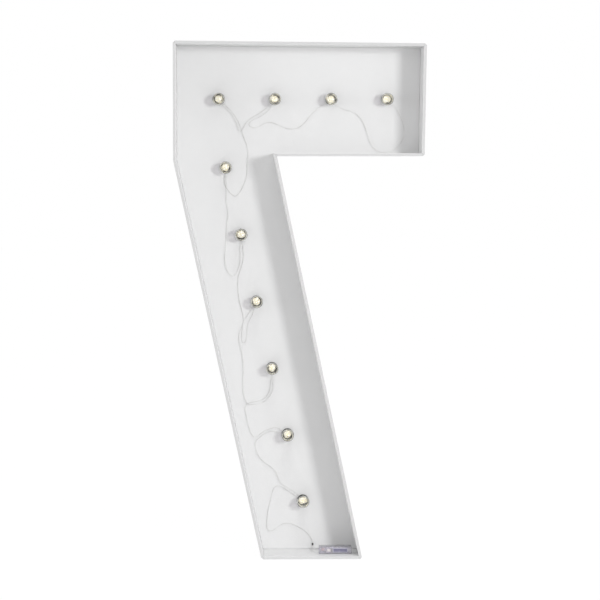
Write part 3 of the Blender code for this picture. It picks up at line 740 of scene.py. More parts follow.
clear_plastic = clear_finish(
    "clear_plastic", face=(0.90, 0.90, 0.87, 1), edge=(0.46, 0.46, 0.42, 1), shadow=(0.55, 0.52, 0.56, 1),
    edge_level=0.42, roughness=0.03, clearness=1.0, ripple=0.0008,
)
case_plastic = clear_finish(
    "case_plastic", face=(0.90, 0.88, 0.95, 1), edge=(0.42, 0.41, 0.47, 1), shadow=(0.06, 0.06, 0.08, 1),
    edge_level=0.6, roughness=0.08, clearness=0.74, ripple=0.0002,
)
print("clear finishes", clear_plastic.name, case_plastic.name)

# %% [markdown]
# ## How the pieces are made
# Each new piece starts as a primitive and is drawn out in edit mode, as a moulder or a turner would
# shape it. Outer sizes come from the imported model's own boxes, so the pieces fit their places. Every
# mesh is finished in one way: doubles merged, loose points gone, normals outwards, and smooth shading
# up to a set angle, so that curves are smooth and edges stay crisp.

# %% Start and finish of every piece
merge_reach = 0.00005
smooth_angle = math.radians(38)


def start_editing():
    bpy.ops.object.mode_set(mode="EDIT")
    bpy.ops.mesh.select_all(action="SELECT")


def finish_editing(piece, name):
    bpy.ops.mesh.select_all(action="SELECT")
    bpy.ops.mesh.remove_doubles(threshold=merge_reach)
    bpy.ops.mesh.delete_loose()
    bpy.ops.mesh.select_all(action="SELECT")
    bpy.ops.mesh.normals_make_consistent(inside=False)
    bpy.ops.object.mode_set(mode="OBJECT")
    bpy.ops.object.shade_smooth_by_angle(angle=smooth_angle)
    piece.name = name
    return piece


print("smooth up to", round(math.degrees(smooth_angle)), "degrees")

# %% [markdown]
# Most small pieces here are round. A turned piece is a circle that is extruded and resized, ring by
# ring, along half of its outline. That gives the same surface as spinning the outline, and it keeps
# even rings of faces that take a bevel or a cut well. Where the outline meets the axis, its ring is
# so small that merging the doubles makes it one point. An arc of places makes the round parts.

# %% Turned pieces
pole = 0.00002


def turned(name, outline, sides):
    """A round piece, drawn up ring by ring through (radius, height) places."""
    radius, height = outline[0]
    bpy.ops.mesh.primitive_circle_add(vertices=sides, radius=radius, location=(0, 0, 0))
    piece = bpy.context.object
    start_editing()
    bpy.ops.transform.translate(value=(0, 0, height))
    for next_radius, next_height in outline[1:]:
        rise = (0, 0, next_height - height)
        share = next_radius / radius
        bpy.ops.mesh.extrude_region_move(TRANSFORM_OT_translate={"value": rise})
        bpy.ops.transform.resize(value=(share, share, 1), center_override=(0, 0, 0))
        radius, height = next_radius, next_height
    return finish_editing(piece, name)


def arc(radius, level, start, end, steps):
    """Places on an arc about a point on the axis; angles in degrees from the top."""
    places = []
    for step in range(steps + 1):
        angle = math.radians(start + (end - start) * step / steps)
        places.append((max(pole, radius * math.sin(angle)), level + radius * math.cos(angle)))
    return places


print("an arc of 4 steps has", len(arc(1, 0, 0, 90, 4)), "places")

# %% [markdown]
# The case, drawer and switch are boxes with rounded edges, joined and hollowed as a mould would
# shape them. The EXACT Boolean is used, since many of the faces that meet here are flush.

# %% Rounded blocks, and cutting or joining them
def rounded_block(name, low, high, round_over, segments=2):
    """A block between two corners, with rounded edges."""
    low = Vector(low)
    high = Vector(high)
    bpy.ops.mesh.primitive_cube_add(size=1, location=(0, 0, 0))
    piece = bpy.context.object
    start_editing()
    bpy.ops.transform.resize(value=high - low, center_override=(0, 0, 0))
    bpy.ops.transform.translate(value=(low + high) / 2)
    bpy.ops.mesh.bevel(offset=round_over, segments=segments, affect="EDGES")
    return finish_editing(piece, name)


def make_active(piece):
    bpy.ops.object.select_all(action="DESELECT")
    bpy.context.view_layer.objects.active = piece
    piece.select_set(True)


def combine(piece, tool, operation):
    """Cut a tool out of a piece, or melt it into the piece, and remove the tool."""
    change = piece.modifiers.new("change", "BOOLEAN")
    change.operation = operation
    change.solver = "EXACT"
    change.object = tool
    make_active(piece)
    bpy.ops.object.modifier_apply(modifier=change.name)
    bpy.data.objects.remove(tool)
    bpy.ops.object.shade_smooth_by_angle(angle=smooth_angle)
    return piece


def dressed(piece, material, body, slot, *replaced):
    """Give a piece its finish, its body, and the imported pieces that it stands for."""
    dress(piece, material)
    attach(piece, body)
    if replaced:
        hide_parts(*replaced)
    print(piece.name, "has", len(piece.data.polygons), "faces")
    return piece


def copy_of(piece, name):
    twin = piece.copy()
    twin.data = piece.data.copy()
    twin.name = name
    bpy.context.scene.collection.objects.link(twin)
    return twin


# %% [markdown]
# ## The bulbs
# Each bulb is three mouldings on one axis. A dark holder pushes through the panel, and its lip
# snaps behind. A cream lamp sits in its cup. A thin clear globe with a long neck slips over the cup.
# All three are made once, standing up, with heights measured from the front of the panel.

# %% Sizes of a bulb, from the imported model
def axial(node):
    """Radius, lowest and highest level of a bulb piece, measured from the front of the panel."""
    low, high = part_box(node)
    return (high.x - low.x) / 2, panel_front - high.y, panel_front - low.y


holder_radius, holder_tip, holder_top = axial("lamp_holder_01")
globe_radius, cover_base, cover_top = axial("bulb_cover_01")
lamp_base, lamp_top = axial("led_lamp_01")[1:]
print("bulb stands", round(cover_top * 1000, 1), "mm off the panel")

# %% [markdown]
# The holder has a thin stem with a snap lip behind the panel, a round flange in front of it, and a
# cup with five low ribs that hold the globe's neck. Its outline runs up the outside and down the
# inside of the cup in one line, with a small step at each edge, so that no edge is a razor.

# %% Sizes of the lamp holder
holder_sides = 40
stem_radius = 0.0048
lip_radius = 0.0058
lip_level = -0.0053
lip_edge = 0.0006
tip_taper = 0.0014
tip_edge = 0.0004
flange_top = 0.0036
flange_round = 0.0005
flange_step = 0.0010
cup_outside = 0.0070
cup_inside = 0.0062
cup_edge = 0.0002
cup_floor = lamp_base - fit_gap
rib_count = 5
rib_height = 0.00018
rib_slope = 0.0003
rib_face = 0.0005
groove_depth = 0.0003
edge_share = 0.3
print("cup", cup_outside * 2000, "mm across, with", rib_count, "ribs")

# %% Lamp holder
def rounded_edge(radius, level, size, rises):
    """Three places round an outer edge: onto the wall going up, or off it going in."""
    near = size * edge_share
    if rises:
        return [(radius - size, level), (radius - near, level + near), (radius, level + size)]
    return [(radius, level - size), (radius - near, level - near), (radius - size, level)]


holder_outline = [
    (pole, holder_tip), (lip_radius - tip_taper - lip_edge, holder_tip),
    (lip_radius - tip_taper, holder_tip + tip_edge), (lip_radius, lip_level - lip_edge),
    (lip_radius, lip_level), (stem_radius, lip_level), (stem_radius, fit_gap),
]
holder_outline += rounded_edge(holder_radius, fit_gap, flange_round, True)
holder_outline += rounded_edge(holder_radius, flange_top, flange_round, False)
holder_outline += [
    (cup_outside + flange_step + cup_edge, flange_top),
    (cup_outside + flange_step, flange_top - groove_depth), (cup_outside, flange_top - groove_depth),
]
rib_start = flange_top + 2 * rib_slope
rib_pitch = (holder_top - rib_start - 2 * rib_slope) / rib_count
for rib in range(rib_count):
    level = rib_start + rib * rib_pitch
    holder_outline += [
        (cup_outside, level), (cup_outside + rib_height, level + rib_slope),
        (cup_outside + rib_height, level + rib_slope + rib_face),
        (cup_outside, level + 2 * rib_slope + rib_face),
    ]
holder_outline += [
    (cup_outside, holder_top - groove_depth), (cup_outside - cup_edge, holder_top),
    (cup_inside + cup_edge / 2, holder_top), (cup_inside, holder_top - cup_edge),
    (cup_inside, cup_floor), (pole, cup_floor),
]
holder_model = turned("holder", holder_outline, holder_sides)
print("rib every", round(rib_pitch * 1000, 2), "mm")

# %% [markdown]
# The lamp is a cream cap with a domed top. A dimple in the middle spreads the light of the chip
# under it. The dome is a cosine raised to a power below one, which is fuller than half a ball.

# %% Cream lamp
lamp_sides = 36
lamp_radius = 0.0058
lamp_edge = 0.0003
lamp_shoulder = 0.0138
dome_steps = 8
dome_end = 80
dome_fullness = 0.8
dimple_radius = 0.0014
dimple_depth = 0.0008
dimple_shares = ((0.8, 0.2), (0.5, 0.7))
dome_rise = lamp_top - lamp_shoulder

lamp_outline = [(pole, lamp_base), (lamp_radius - lamp_edge, lamp_base), (lamp_radius, lamp_base + lamp_edge)]
for step in range(dome_steps + 1):
    angle = math.radians(dome_end * step / dome_steps)
    dome_radius = lamp_radius * math.cos(angle) ** dome_fullness
    lamp_outline.append((dome_radius, lamp_shoulder + dome_rise * math.sin(angle)))
for out_share, depth_share in dimple_shares:
    lamp_outline.append((dimple_radius * out_share, lamp_top - dimple_depth * depth_share))
lamp_outline.append((pole, lamp_top - dimple_depth))
lamp_model = turned("lamp", lamp_outline, lamp_sides)
print("dome rises", round(dome_rise * 1000, 2), "mm")

# %% [markdown]
# The lamp's finish needs to know how far each point is from the axis, for the chip in the middle.
# A number stored on each point stays with the mesh wherever the copies go, while a pattern on
# place alone would have to know all ten axes.

# %% Note each point's distance from the axis
def note_distance(piece, name):
    distance = piece.data.attributes.new(name, "FLOAT", "POINT")
    for point, value in zip(piece.data.vertices, distance.data):
        value.value = math.hypot(point.co.x, point.co.y)
    print(name, "noted on", len(piece.data.vertices), "points")


note_distance(lamp_model, "from_axis")

# %% [markdown]
# The globe is a thin ball on a straight neck with a beaded end. Its front is thicker inside, like a
# lens, so the lamp looks larger from the front, as it does in the photograph. A small flat scar at
# the very front is where the plastic flowed into the mould.

# %% Sizes of the globe
cover_sides = 40
cover_wall = 0.0011
neck_room = 0.00012
neck_inside = cup_outside + rib_height + neck_room
neck_outside = neck_inside + cover_wall
neck_length = 0.0050
neck_end = cover_base + neck_length
bead_size = 0.0003
bead_length = 0.0013
gate_radius = 0.0009
gate_depth = 0.00025
gate_rim_share = 1.4
gate_step_share = 0.4
gate_floor_share = 0.7
lens_radius = 0.0110
lens_join_radius = 0.0085
outside_steps = 16
lens_steps = 8
inside_steps = 12
print("neck", round(neck_outside * 2000, 2), "mm across")

# %% Clear globe
globe_level = cover_top - globe_radius
inner_globe = globe_radius - cover_wall
neck_angle = 180 - math.degrees(math.asin(neck_outside / globe_radius))
inner_neck_angle = 180 - math.degrees(math.asin(neck_inside / inner_globe))
gate_angle = math.degrees(math.asin(gate_radius * gate_rim_share / globe_radius))
lens_angle = math.degrees(math.asin(lens_join_radius / lens_radius))
join_angle = math.degrees(math.asin(lens_join_radius / inner_globe))
lens_join_level = globe_level + math.sqrt(inner_globe ** 2 - lens_join_radius ** 2)
lens_drop = math.sqrt(lens_radius ** 2 - lens_join_radius ** 2)

cover_outline = [
    (neck_inside, cover_base + bead_size), (neck_inside + bead_size, cover_base),
    (neck_outside, cover_base), (neck_outside + bead_size, cover_base + bead_size),
    (neck_outside + bead_size, cover_base + bead_length - bead_size),
    (neck_outside, cover_base + bead_length), (neck_outside, neck_end),
]
cover_outline += arc(globe_radius, globe_level, neck_angle, gate_angle, outside_steps)
cover_outline += [
    (gate_radius, cover_top - gate_depth * gate_step_share),
    (gate_radius * gate_floor_share, cover_top - gate_depth), (pole, cover_top - gate_depth),
]
cover_outline += arc(lens_radius, lens_join_level - lens_drop, 0, lens_angle, lens_steps)
cover_outline += arc(inner_globe, globe_level, join_angle, inner_neck_angle, inside_steps)[1:]
cover_outline += [(neck_inside, neck_end), (neck_inside, cover_base + bead_size)]
cover_model = turned("cover", cover_outline, cover_sides)
front_wall = cover_top - lens_join_level + lens_drop - lens_radius
print("wall at the front", round(front_wall * 1000, 2), "mm")

# %% [markdown]
# Ten of each are copied to their places, laid over so that the axis points out of the panel. Each
# is turned a little further round than the last, by the golden angle, so that no two bulbs show the
# same faces. The lamps rest a hair off the middle of their cups, as loose lamps do.

# %% Ten bulbs
bulb_count = sum(name.startswith("bulb_cover") for name in nodes)
golden_angle = math.radians(137.5)
lamp_shift = Vector((-0.00020, 0.0, 0.00030))
out_of_panel = Matrix.Rotation(math.pi / 2, 4, "X")
bulb_kinds = [
    (holder_model, "holder", dark_plastic, "dark_plastic", "lamp_holder"),
    (lamp_model, "lamp", cream_lamp, "warm_lamp", "led_lamp"),
    (cover_model, "globe", clear_plastic, "clear_plastic", "bulb_cover"),
]
for model, kind, material, slot, packed in bulb_kinds:
    for number in range(1, bulb_count + 1):
        piece = copy_of(model, f"{kind}_{number:02d}")
        about_axis = Matrix.Rotation(golden_angle * number, 4, "Z")
        middle = bulb_middle(number) + (lamp_shift if model is lamp_model else Vector())
        piece.data.transform(Matrix.Translation(middle) @ out_of_panel @ about_axis)
        dressed(piece, material, "number", slot, f"{packed}_{number:02d}")
    bpy.data.objects.remove(model)
print("bulbs", bulb_count)

# %% [markdown]
# ## The battery case
# The case is a clear moulded box. A violet drawer with two coin cells slides out of a window in its
# front, and the switch's knob stands in a slot beside it. The box is hollowed from its open left
# end, and the window and slot are cut with room for what moves in them.

# %% Clear case
case_low, case_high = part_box("battery_case")
case_middle = middle_of("battery_case")
case_wall = 0.0010
case_end_wall = 0.0025
case_round = 0.0009
inside_round = 0.0004
opening_round = 0.0003
overrun = 0.0010
knob_low, knob_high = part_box("switch_slider")
knob_height = 0.0042
knob_length = 0.0046
switch_travel = 0.0030
plate_margin = 0.0017
knob_start = knob_low.x + plate_margin

case = rounded_block("clear_case", case_low, case_high, case_round, segments=3)
hollow_low = case_low + Vector((-overrun, case_wall, case_wall))
hollow_high = case_high - Vector((case_end_wall, case_wall, case_wall))
combine(case, rounded_block("hollow", hollow_low, hollow_high, inside_round), "DIFFERENCE")


def cut_opening(left, right, low, high):
    """Cut the case's front wall open between two sides and two levels, with room to move."""
    corner_low = Vector((left - fit_gap, case_low.y - overrun, low - fit_gap))
    corner_high = Vector((right + fit_gap, case_low.y + case_wall + overrun, high + fit_gap))
    combine(case, rounded_block("opening", corner_low, corner_high, opening_round), "DIFFERENCE")


cut_opening(drawer_low.x, drawer_high.x, drawer_low.z, drawer_high.z)
cut_opening(
    knob_start, knob_start + knob_length + switch_travel,
    case_middle.z - knob_height / 2, case_middle.z + knob_height / 2,
)
print("case", [round(size * 1000, 1) for size in case_high - case_low], "mm")

# %% [markdown]
# Low ridges on the top give a thumb something to hold while the drawer is pulled. They come out of
# the case's own mould, so a loop melts small blocks into it. An array modifier would leave them
# separate shells.

# %% Grip ridges on the case
ridge_count = 6
ridge_pitch = 0.0016
ridge_size = Vector((0.0007, 0.0100, 0.00035))
ridge_round = 0.00014
ridge_margin = 0.0120


def block_about(name, middle, size, round_over):
    """A small rounded block about its middle."""
    return rounded_block(name, middle - size / 2, middle + size / 2, round_over)


for ridge in range(ridge_count):
    middle = Vector((case_high.x - ridge_margin + ridge * ridge_pitch, case_middle.y, case_high.z))
    combine(case, block_about("ridge", middle, ridge_size, ridge_round), "UNION")
dressed(case, case_plastic, "number", "clear_plastic", "battery_case")

# %% [markdown]
# The cap closes the left end. Its gland is a short tapered boss with a bore, and the wire comes out
# through it, so that a tug on the wire doesn't reach the circuit board.

# %% End cap with its gland
cap_plate = 0.0015
cap_round = 0.0003
gland_outside = 0.0016
gland_bore = 0.00065
gland_flare = 0.0003
gland_foot = 0.0002
gland_taper_share = 0.7
gland_mouth_share = 0.85
gland_sides = 24
cap_face = cap_high.x - cap_plate
gland_length = cap_face - cap_low.x
cap = rounded_block("clear_end_cap", (cap_face, cap_low.y, cap_low.z), cap_high, cap_round)
gland_outline = [
    (gland_bore, -gland_foot), (gland_outside + gland_flare, -gland_foot), (gland_outside, gland_foot),
    (gland_outside, gland_length * gland_taper_share), (gland_outside - gland_flare, gland_length),
    (gland_bore + gland_foot / 2, gland_length), (gland_bore, gland_length * gland_mouth_share),
    (gland_bore, -gland_foot),
]
boss = turned("boss", gland_outline, gland_sides)
to_left = Matrix.Rotation(-math.pi / 2, 4, "Y")
boss.data.transform(Matrix.Translation((cap_face, cap_middle.y, cap_middle.z)) @ to_left)
combine(cap, boss, "UNION")
dressed(cap, case_plastic, "number", "clear_plastic", "case_end_cap")

# %% [markdown]
# The drawer is a violet tray. A round pocket holds the two cells one on the other, and a hole in its
# floor lets the lower spring reach them. The front has a raised rim round a sunken face. A turned
# cutter makes pocket and hole in one go, so they share their axis.

# %% Drawer with its pocket
cell_low, cell_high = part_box("coin_cell_lower")
cell_radius = (cell_high.x - cell_low.x) / 2
drawer_round = 0.0005
drawer_floor = cell_low.z - fit_gap - drawer_low.z
drawer_height = drawer_high.z - drawer_low.z
floor_hole = 0.0070
pocket_radius = cell_radius + fit_gap
pocket_flare = 0.0004
pocket_sides = 56
small_round = 0.0002

drawer = rounded_block("violet_drawer", drawer_low, drawer_high, drawer_round, segments=3)
pocket_outline = [
    (pole, -overrun), (floor_hole, -overrun), (floor_hole, drawer_floor - small_round),
    (floor_hole + small_round, drawer_floor), (pocket_radius, drawer_floor),
    (pocket_radius, drawer_height - pocket_flare), (pocket_radius + pocket_flare, drawer_height),
    (pocket_radius + pocket_flare, drawer_height + overrun), (pole, drawer_height + overrun),
]
pocket = turned("pocket", pocket_outline, pocket_sides)
pocket.data.transform(Matrix.Translation((cell_axis.x, cell_axis.y, drawer_low.z)))
combine(drawer, pocket, "DIFFERENCE")

face_level = drawer_low.y + rim_depth
rim_inset = Vector((rim_width, 0, rim_width))
recess_low = drawer_low + rim_inset - Vector((0, overrun, 0))
recess_high = Vector((drawer_high.x, face_level, drawer_high.z)) - rim_inset
combine(drawer, rounded_block("recess", recess_low, recess_high, small_round), "DIFFERENCE")
print("pocket", round(pocket_radius * 2000, 1), "mm across")

# %% [markdown]
# A round hollow takes a fingertip, and short ribs on both sides of it stop the finger from slipping.
# The hollow is cut with a turned tool that has sloping sides, and the ribs are blocks melted in.

# %% Grip and finger ribs on the drawer's face
grip_radius = 0.0029
grip_depth = 0.0004
grip_slope = 0.0006
grip_sides = 32
finger_rib_count = 4
finger_rib_gap = 0.0019
finger_rib_pitch = 0.0014
finger_rib_start = grip_radius + finger_rib_gap
finger_rib_size = Vector((0.0006, 0.0005, 0.0046))
forwards = Matrix.Rotation(math.pi / 2, 4, "X")

grip_outline = [
    (pole, -grip_depth), (grip_radius - grip_slope, -grip_depth), (grip_radius, 0), (grip_radius, overrun),
    (pole, overrun),
]
grip = turned("grip", grip_outline, grip_sides)
face_middle = Vector((drawer_middle.x, face_level, drawer_middle.z))
grip.data.transform(Matrix.Translation(face_middle) @ forwards)
combine(drawer, grip, "DIFFERENCE")

for side in (-1, 1):
    for rib in range(finger_rib_count):
        middle = face_middle + Vector((side * (finger_rib_start + rib * finger_rib_pitch), 0, 0))
        combine(drawer, block_about("rib", middle, finger_rib_size, small_round), "UNION")
dressed(drawer, violet_plastic, "drawer", "violet_plastic", "battery_drawer")

# %% [markdown]
# A coin cell is a steel can crimped over a smaller lid. The crimp and the lid's step show as rings,
# so both are in the outline. One cell is made, and the other is a copy on top of it.

# %% Coin cells
cell_height = cell_high.z - cell_low.z
cell_sides = 56
lid_margin = 0.0013
lid_radius = cell_radius - lid_margin
crimp_level = 0.0005
crimp_width = 0.0008
can_round = 0.0004
ring_depth = 0.0001
cell_outline = [
    (pole, 0), (lid_radius - small_round, 0), (lid_radius, small_round),
    (lid_radius + ring_depth, crimp_level), (lid_radius + crimp_width, crimp_level),
    (cell_radius - ring_depth, crimp_level + ring_depth), (cell_radius, crimp_level + can_round),
    (cell_radius, cell_height - can_round), (cell_radius - ring_depth, cell_height - ring_depth),
    (cell_radius - can_round, cell_height), (lid_radius + small_round, cell_height),
    (lid_radius, cell_height - ring_depth), (lid_radius - 3 * ring_depth, cell_height),
    (pole, cell_height),
]
cell_model = turned("cell", cell_outline, cell_sides)
for name in ("coin_cell_lower", "coin_cell_upper"):
    cell = copy_of(cell_model, "steel_" + name)
    cell.data.transform(Matrix.Translation((cell_axis.x, cell_axis.y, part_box(name)[0].z)))
    dressed(cell, cell_steel, "drawer", "cell_steel", name)
bpy.data.objects.remove(cell_model)

# %% [markdown]
# Two springs of thin metal touch the cells from above and below. Each is a flat strip cut across
# many times by bisecting, then bowed towards the cells in one smooth swell.

# %% Contact strips
strip_parts = 12
strip_bow = 0.00018


def contact_strip(name, bow):
    """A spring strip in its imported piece's box, bowed up by so much, or down if less than zero."""
    low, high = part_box(name)
    size = high - low
    bpy.ops.mesh.primitive_cube_add(size=1, location=(0, 0, 0))
    strip = bpy.context.object
    start_editing()
    bpy.ops.transform.resize(value=size, center_override=(0, 0, 0))
    bpy.ops.transform.translate(value=(low + high) / 2)
    for part in range(1, strip_parts):
        bpy.ops.mesh.select_all(action="SELECT")
        cut = low.x + size.x * part / strip_parts
        bpy.ops.mesh.bisect(plane_co=(cut, 0, 0), plane_no=(1, 0, 0))
    finish_editing(strip, "spring_" + name)
    for point in strip.data.vertices:
        share = (point.co.x - low.x) / size.x
        point.co.z += bow * math.sin(math.pi * share) ** 2
    return dressed(strip, contact_metal, "number", "contact_metal", name)


contact_strip("contact_strip_lower", strip_bow)
contact_strip("contact_strip_upper", -strip_bow)

# %% [markdown]
# The circuit board lies flat in the left part of the case, behind the switch. Its parts stand on it:
# a chip on bent legs, a small resistor, two domes of solder and a coil. They are placed by shares of
# the board's own length and width, so they stay on it if it changes.

# %% Circuit board
board_low, board_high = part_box("circuit_board")
board_size = board_high - board_low
board_round = 0.0003
sunk = 0.0001
board = rounded_block("resin_board", board_low, board_high, board_round)
dressed(board, circuit_resin, "number", "circuit_resin", "circuit_board")


def board_place(length_share, width_share):
    """A point just under the top of the board, so that what stands there is well bedded."""
    return Vector((
        board_low.x + board_size.x * length_share, board_low.y + board_size.y * width_share,
        board_high.z - sunk,
    ))


print("circuit board", [round(size * 1000, 1) for size in board_size], "mm")

# %% [markdown]
# The chip is a black moulded block with a small square mark sunk in one corner, which tells its first
# leg. Each leg is flat tinned metal that comes down beside the block and turns out along the board.
# Two thin blocks melted together give that bend, and all the legs are one piece.

# %% Chip
chip_shares = (0.46, 0.56)
chip_size = Vector((0.0042, 0.0036, 0.0012))
chip_round = 0.0002
chip_lift = 0.0003
mark_size = Vector((0.0006, 0.0006, 0.0003))
mark_margin = 0.0008
chip_middle = board_place(*chip_shares) + Vector((0, 0, chip_lift + chip_size.z / 2))
chip = block_about("board_chip", chip_middle, chip_size, chip_round)
chip_corner = chip_middle + Vector((-chip_size.x / 2, -chip_size.y / 2, chip_size.z / 2))
mark_middle = chip_corner + Vector((mark_margin, mark_margin, 0))
combine(chip, block_about("mark", mark_middle, mark_size, chip_round / 2), "DIFFERENCE")
dressed(chip, dark_plastic, "number", "dark_plastic")

# %% Bent legs of the chip
leg_count = 4
leg_pitch = 0.0010
leg_width = 0.0004
leg_thickness = 0.00016
leg_reach = 0.0008
leg_round = leg_thickness / 4
legs = None
for side in (-1, 1):
    for leg in range(leg_count):
        x = chip_middle.x + (leg - (leg_count - 1) / 2) * leg_pitch
        wall = chip_middle.y + side * chip_size.y / 2
        rise = chip_middle.z - board_high.z
        shin = Vector((leg_width, leg_thickness, rise))
        toe = Vector((leg_width, leg_reach, leg_thickness))
        shin_middle = Vector((x, wall + side * leg_thickness, board_high.z + rise / 2))
        toe_middle = Vector((x, wall + side * leg_reach / 2, board_high.z + leg_thickness / 2))
        for middle, size in ((shin_middle, shin), (toe_middle, toe)):
            block = block_about("leg", middle, size, leg_round)
            legs = block if legs is None else combine(legs, block, "UNION")
legs.name = "board_chip_legs"
dressed(legs, cell_steel, "number", "cell_steel")

# %% [markdown]
# The resistor is a dark ceramic block with a bright metal cap on each end. Each cap is a little larger
# than the block and sits over its end, so the step between them shows.

# %% Resistor
resistor_shares = (0.80, 0.30)
resistor_size = Vector((0.0026, 0.0013, 0.0006))
end_size = Vector((0.0005, 0.0014, 0.0007))
resistor_middle = board_place(*resistor_shares) + Vector((0, 0, resistor_size.z / 2))
resistor = block_about("board_resistor", resistor_middle, resistor_size, small_round / 2)
dressed(resistor, dark_plastic, "number", "dark_plastic")
for side, side_name in ((-1, "left"), (1, "right")):
    end_middle = resistor_middle + Vector((side * (resistor_size.x - end_size.x + sunk) / 2, 0, 0))
    end = block_about(f"board_resistor_end_{side_name}", end_middle, end_size, small_round / 2)
    dressed(end, cell_steel, "number", "cell_steel")

# %% [markdown]
# On such boards the two strands of the wire end in a dome of solder each, near the end where they
# come in. Solder spreads thin at its foot, so the dome's height follows a sine raised to a power
# above one. One dome is turned and copied.

# %% Domes of solder
solder_radius = 0.0009
solder_height = 0.0007
solder_hollow = 1.4
solder_steps = 6
solder_sides = 24
solder_length_share = 0.12
solder_outline = [(pole, 0), (solder_radius, 0)]
for step in range(1, solder_steps + 1):
    angle = math.radians(90 * step / solder_steps)
    rise = solder_height * math.sin(angle) ** solder_hollow
    solder_outline.append((max(pole, solder_radius * math.cos(angle)), rise))
solder_model = turned("solder", solder_outline, solder_sides)
for name, width_share in (("board_solder_front", 0.62), ("board_solder_back", 0.82)):
    solder = copy_of(solder_model, name)
    solder.data.transform(Matrix.Translation(board_place(solder_length_share, width_share)))
    dressed(solder, cell_steel, "number", "cell_steel")
bpy.data.objects.remove(solder_model)

# %% [markdown]
# A coil like this one raises the cells' voltage. It is copper wire wound on a drum, and its pinkish
# tone shows through the case's front. Each turn of the wire is a ridge in the outline.

# %% Coil
coil_shares = (0.24, 0.30)
coil_radius = 0.0028
coil_flange = 0.0004
coil_turns = 9
coil_wire = 0.00018
coil_hole_share = 0.5
coil_floor_share = 0.4
coil_sides = 36
coil_outline = [(pole, 0), (coil_radius, 0), (coil_radius, coil_flange)]
for turn in range(coil_turns):
    level = coil_flange + 2 * coil_wire * turn
    coil_outline += [(coil_radius - 2 * coil_wire, level), (coil_radius - coil_wire, level + coil_wire)]
wound_top = coil_flange + 2 * coil_wire * coil_turns
coil_top = wound_top + coil_flange
coil_outline += [
    (coil_radius - 2 * coil_wire, wound_top), (coil_radius, wound_top), (coil_radius, coil_top),
    (coil_radius * coil_hole_share, coil_top), (coil_radius * coil_floor_share, coil_top - small_round),
    (pole, coil_top - small_round),
]
coil = turned("board_coil", coil_outline, coil_sides)
coil.data.transform(Matrix.Translation(board_place(*coil_shares)))
dressed(coil, copper_winding, "number", "circuit_resin")

# %% [markdown]
# The switch is a plate that slides behind the case's wall, and a knob that stands out through the
# slot. Three grooves across the knob give a fingernail some hold. Plate and knob are melted together,
# because they are one moulding and move as one.

# %% Switch
plate_back = knob_high.y
plate_front = case_low.y + case_wall + fit_gap
knob_round = 0.0004
groove_count = 3
groove_size = Vector((0.0005, 0.0007, knob_height + overrun))
groove_round = 0.00015
switch = rounded_block(
    "ridged_switch", (knob_low.x, plate_front, knob_low.z), (knob_high.x, plate_back, knob_high.z),
    opening_round,
)
knob_corner_low = (knob_start, knob_low.y, case_middle.z - knob_height / 2)
knob_corner_high = (knob_start + knob_length, plate_back - fit_gap, case_middle.z + knob_height / 2)
combine(switch, rounded_block("knob", knob_corner_low, knob_corner_high, knob_round, segments=3), "UNION")
for groove in range(groove_count):
    x = knob_start + knob_length * (groove + 1) / (groove_count + 1)
    middle = Vector((x, knob_low.y, case_middle.z))
    combine(switch, block_about("groove", middle, groove_size, groove_round), "DIFFERENCE")
dressed(switch, switch_plastic, "switch", "switch_plastic", "switch_slider")

# %% [markdown]
# A short black sleeve is shrunk on to the wire just above the foot. It is a tube with rounded ends
# and a slight waist, turned to lie along the wire there.

# %% Sleeve on the wire
sleeve_room = 0.00003
sleeve_bore = wire_diameter / 2 + sleeve_room
sleeve_outside = 0.0014
sleeve_half = 0.0020
sleeve_round = 0.00035
sleeve_waist = 0.0001
sleeve_sides = 28
sleeve_outline = [(sleeve_bore, -sleeve_half)]
sleeve_outline += rounded_edge(sleeve_outside, -sleeve_half, sleeve_round, True)
sleeve_outline += [(sleeve_outside - sleeve_waist, 0)]
sleeve_outline += rounded_edge(sleeve_outside, sleeve_half, sleeve_round, False)
sleeve_outline += [(sleeve_bore, sleeve_half), (sleeve_bore, -sleeve_half)]
sleeve = turned("shrunk_sleeve", sleeve_outline, sleeve_sides)
wire_direction = lead[sleeve_route_place + 1] - lead[sleeve_route_place - 1]
along_wire = wire_direction.to_track_quat("Z", "Y").to_matrix().to_4x4()
sleeve.data.transform(Matrix.Translation(lead[sleeve_route_place]) @ along_wire)
dressed(sleeve, black_rubber, "number", "black_sleeve", "lead_sleeve")
line_length(lead_line)
print("sleeve", sleeve_half * 2000, "mm long")

# %% [markdown]
# ## Light and floor
# The photograph has a plain white ground. The floor is a pale sheet that glows for the camera alone,
# so it looks white without throwing more light on the object, and its tenth part of plain finish
# keeps the object's shadow.

# %% Floor
floor_size = 30.0
floor_pale = (0.93, 0.93, 0.93)
floor_roughness = 0.8
floor_glow = 1.05
glow_share = 0.90
bpy.ops.mesh.primitive_plane_add(size=floor_size, location=(0, 0, 0))
floor = bpy.context.object
floor.name = "floor"
floor_material, shader, sums = new_material("floor", floor_pale, floor_roughness)
camera_ray = sums.node("ShaderNodeLightPath", out="Is Camera Ray")
glow = sums.node("ShaderNodeEmission", {}, {"Color": (1, 1, 1, 1), "Strength": floor_glow})
mixed = sums.node("ShaderNodeMixShader", {}, {0: camera_ray * glow_share, 1: shader.outputs[0], 2: glow})
sums.feed(floor_material.node_tree.nodes["Material Output"].inputs["Surface"], mixed)
dress(floor, floor_material)
print("floor", floor_size, "m across")

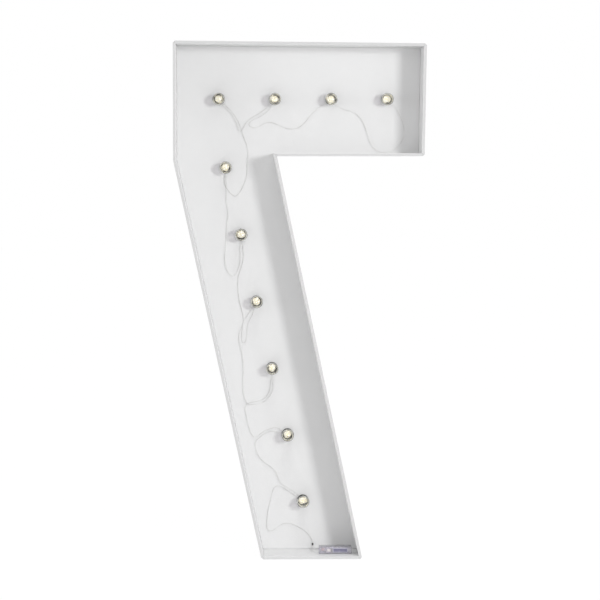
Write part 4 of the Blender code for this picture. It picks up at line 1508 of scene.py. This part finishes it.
# %% [markdown]
# One soft lamp stands far to the right of the camera and a little higher. It gives the grey bands
# beside the right-hand walls. A weaker, larger lamp at the left lights the inner faces of those walls,
# a weak one overhead fills the bar, and a very weak narrow one above shines down on the foot. No lamp
# is seen by the camera itself.

# %% Lamps
def area_lamp(name, place, target, size, power):
    """A square lamp, its side in metres and its power in watts, turned to face a target."""
    data = bpy.data.lights.new(name, "AREA")
    data.shape = "SQUARE"
    data.size = size
    data.energy = power
    lamp = bpy.data.objects.new(name, data)
    bpy.context.scene.collection.objects.link(lamp)
    lamp.location = place
    lamp.rotation_euler = (Vector(target) - Vector(place)).to_track_quat("-Z", "Y").to_euler()
    lamp.visible_camera = False
    print(name, power, "W")
    return lamp


numeral_middle = (0.0, 0.0, 0.5)
foot_middle = (0.03, -0.01, 0.0)
foot_spread = math.radians(30)
area_lamp("key_lamp", (1.706, -3.60, 1.119), numeral_middle, size=0.60, power=49)
area_lamp("left_lamp", (-3.0, -1.60, 0.80), numeral_middle, size=1.2, power=14)
area_lamp("overhead_lamp", (0.35, -1.70, 3.50), numeral_middle, size=0.9, power=8)
foot_lamp = area_lamp("foot_lamp", (0.04, -0.34, 1.0), foot_middle, size=0.3, power=0.058)
foot_lamp.data.spread = foot_spread

# %% [markdown]
# The rest of the light comes evenly from all round, as in a white studio, and it is dimmer than white
# on the object. The camera still sees that world as white, and so does clear plastic that is looked
# through. Gloss sees it between the two.

# %% World
world_fill = 0.58
gloss_share = 0.4
world = bpy.data.worlds.new("world")
bpy.context.scene.world = world
world.use_nodes = True
sums = Sum(world.node_tree, None)
background = world.node_tree.nodes["Background"]
seen = sums.node("ShaderNodeLightPath", out="Is Camera Ray")
glossy = sums.node("ShaderNodeLightPath", out="Is Glossy Ray")
through = sums.node("ShaderNodeLightPath", out="Is Transmission Ray")
white_share = sums.maths("MAXIMUM", seen, sums.maths("MAXIMUM", glossy * gloss_share, through))
sums.feed(background.inputs["Strength"], white_share * (1 - world_fill) + world_fill)
background.inputs["Color"].default_value = (1, 1, 1, 1)
bpy.context.scene.view_settings.view_transform = "Standard"
print("even light", world_fill)
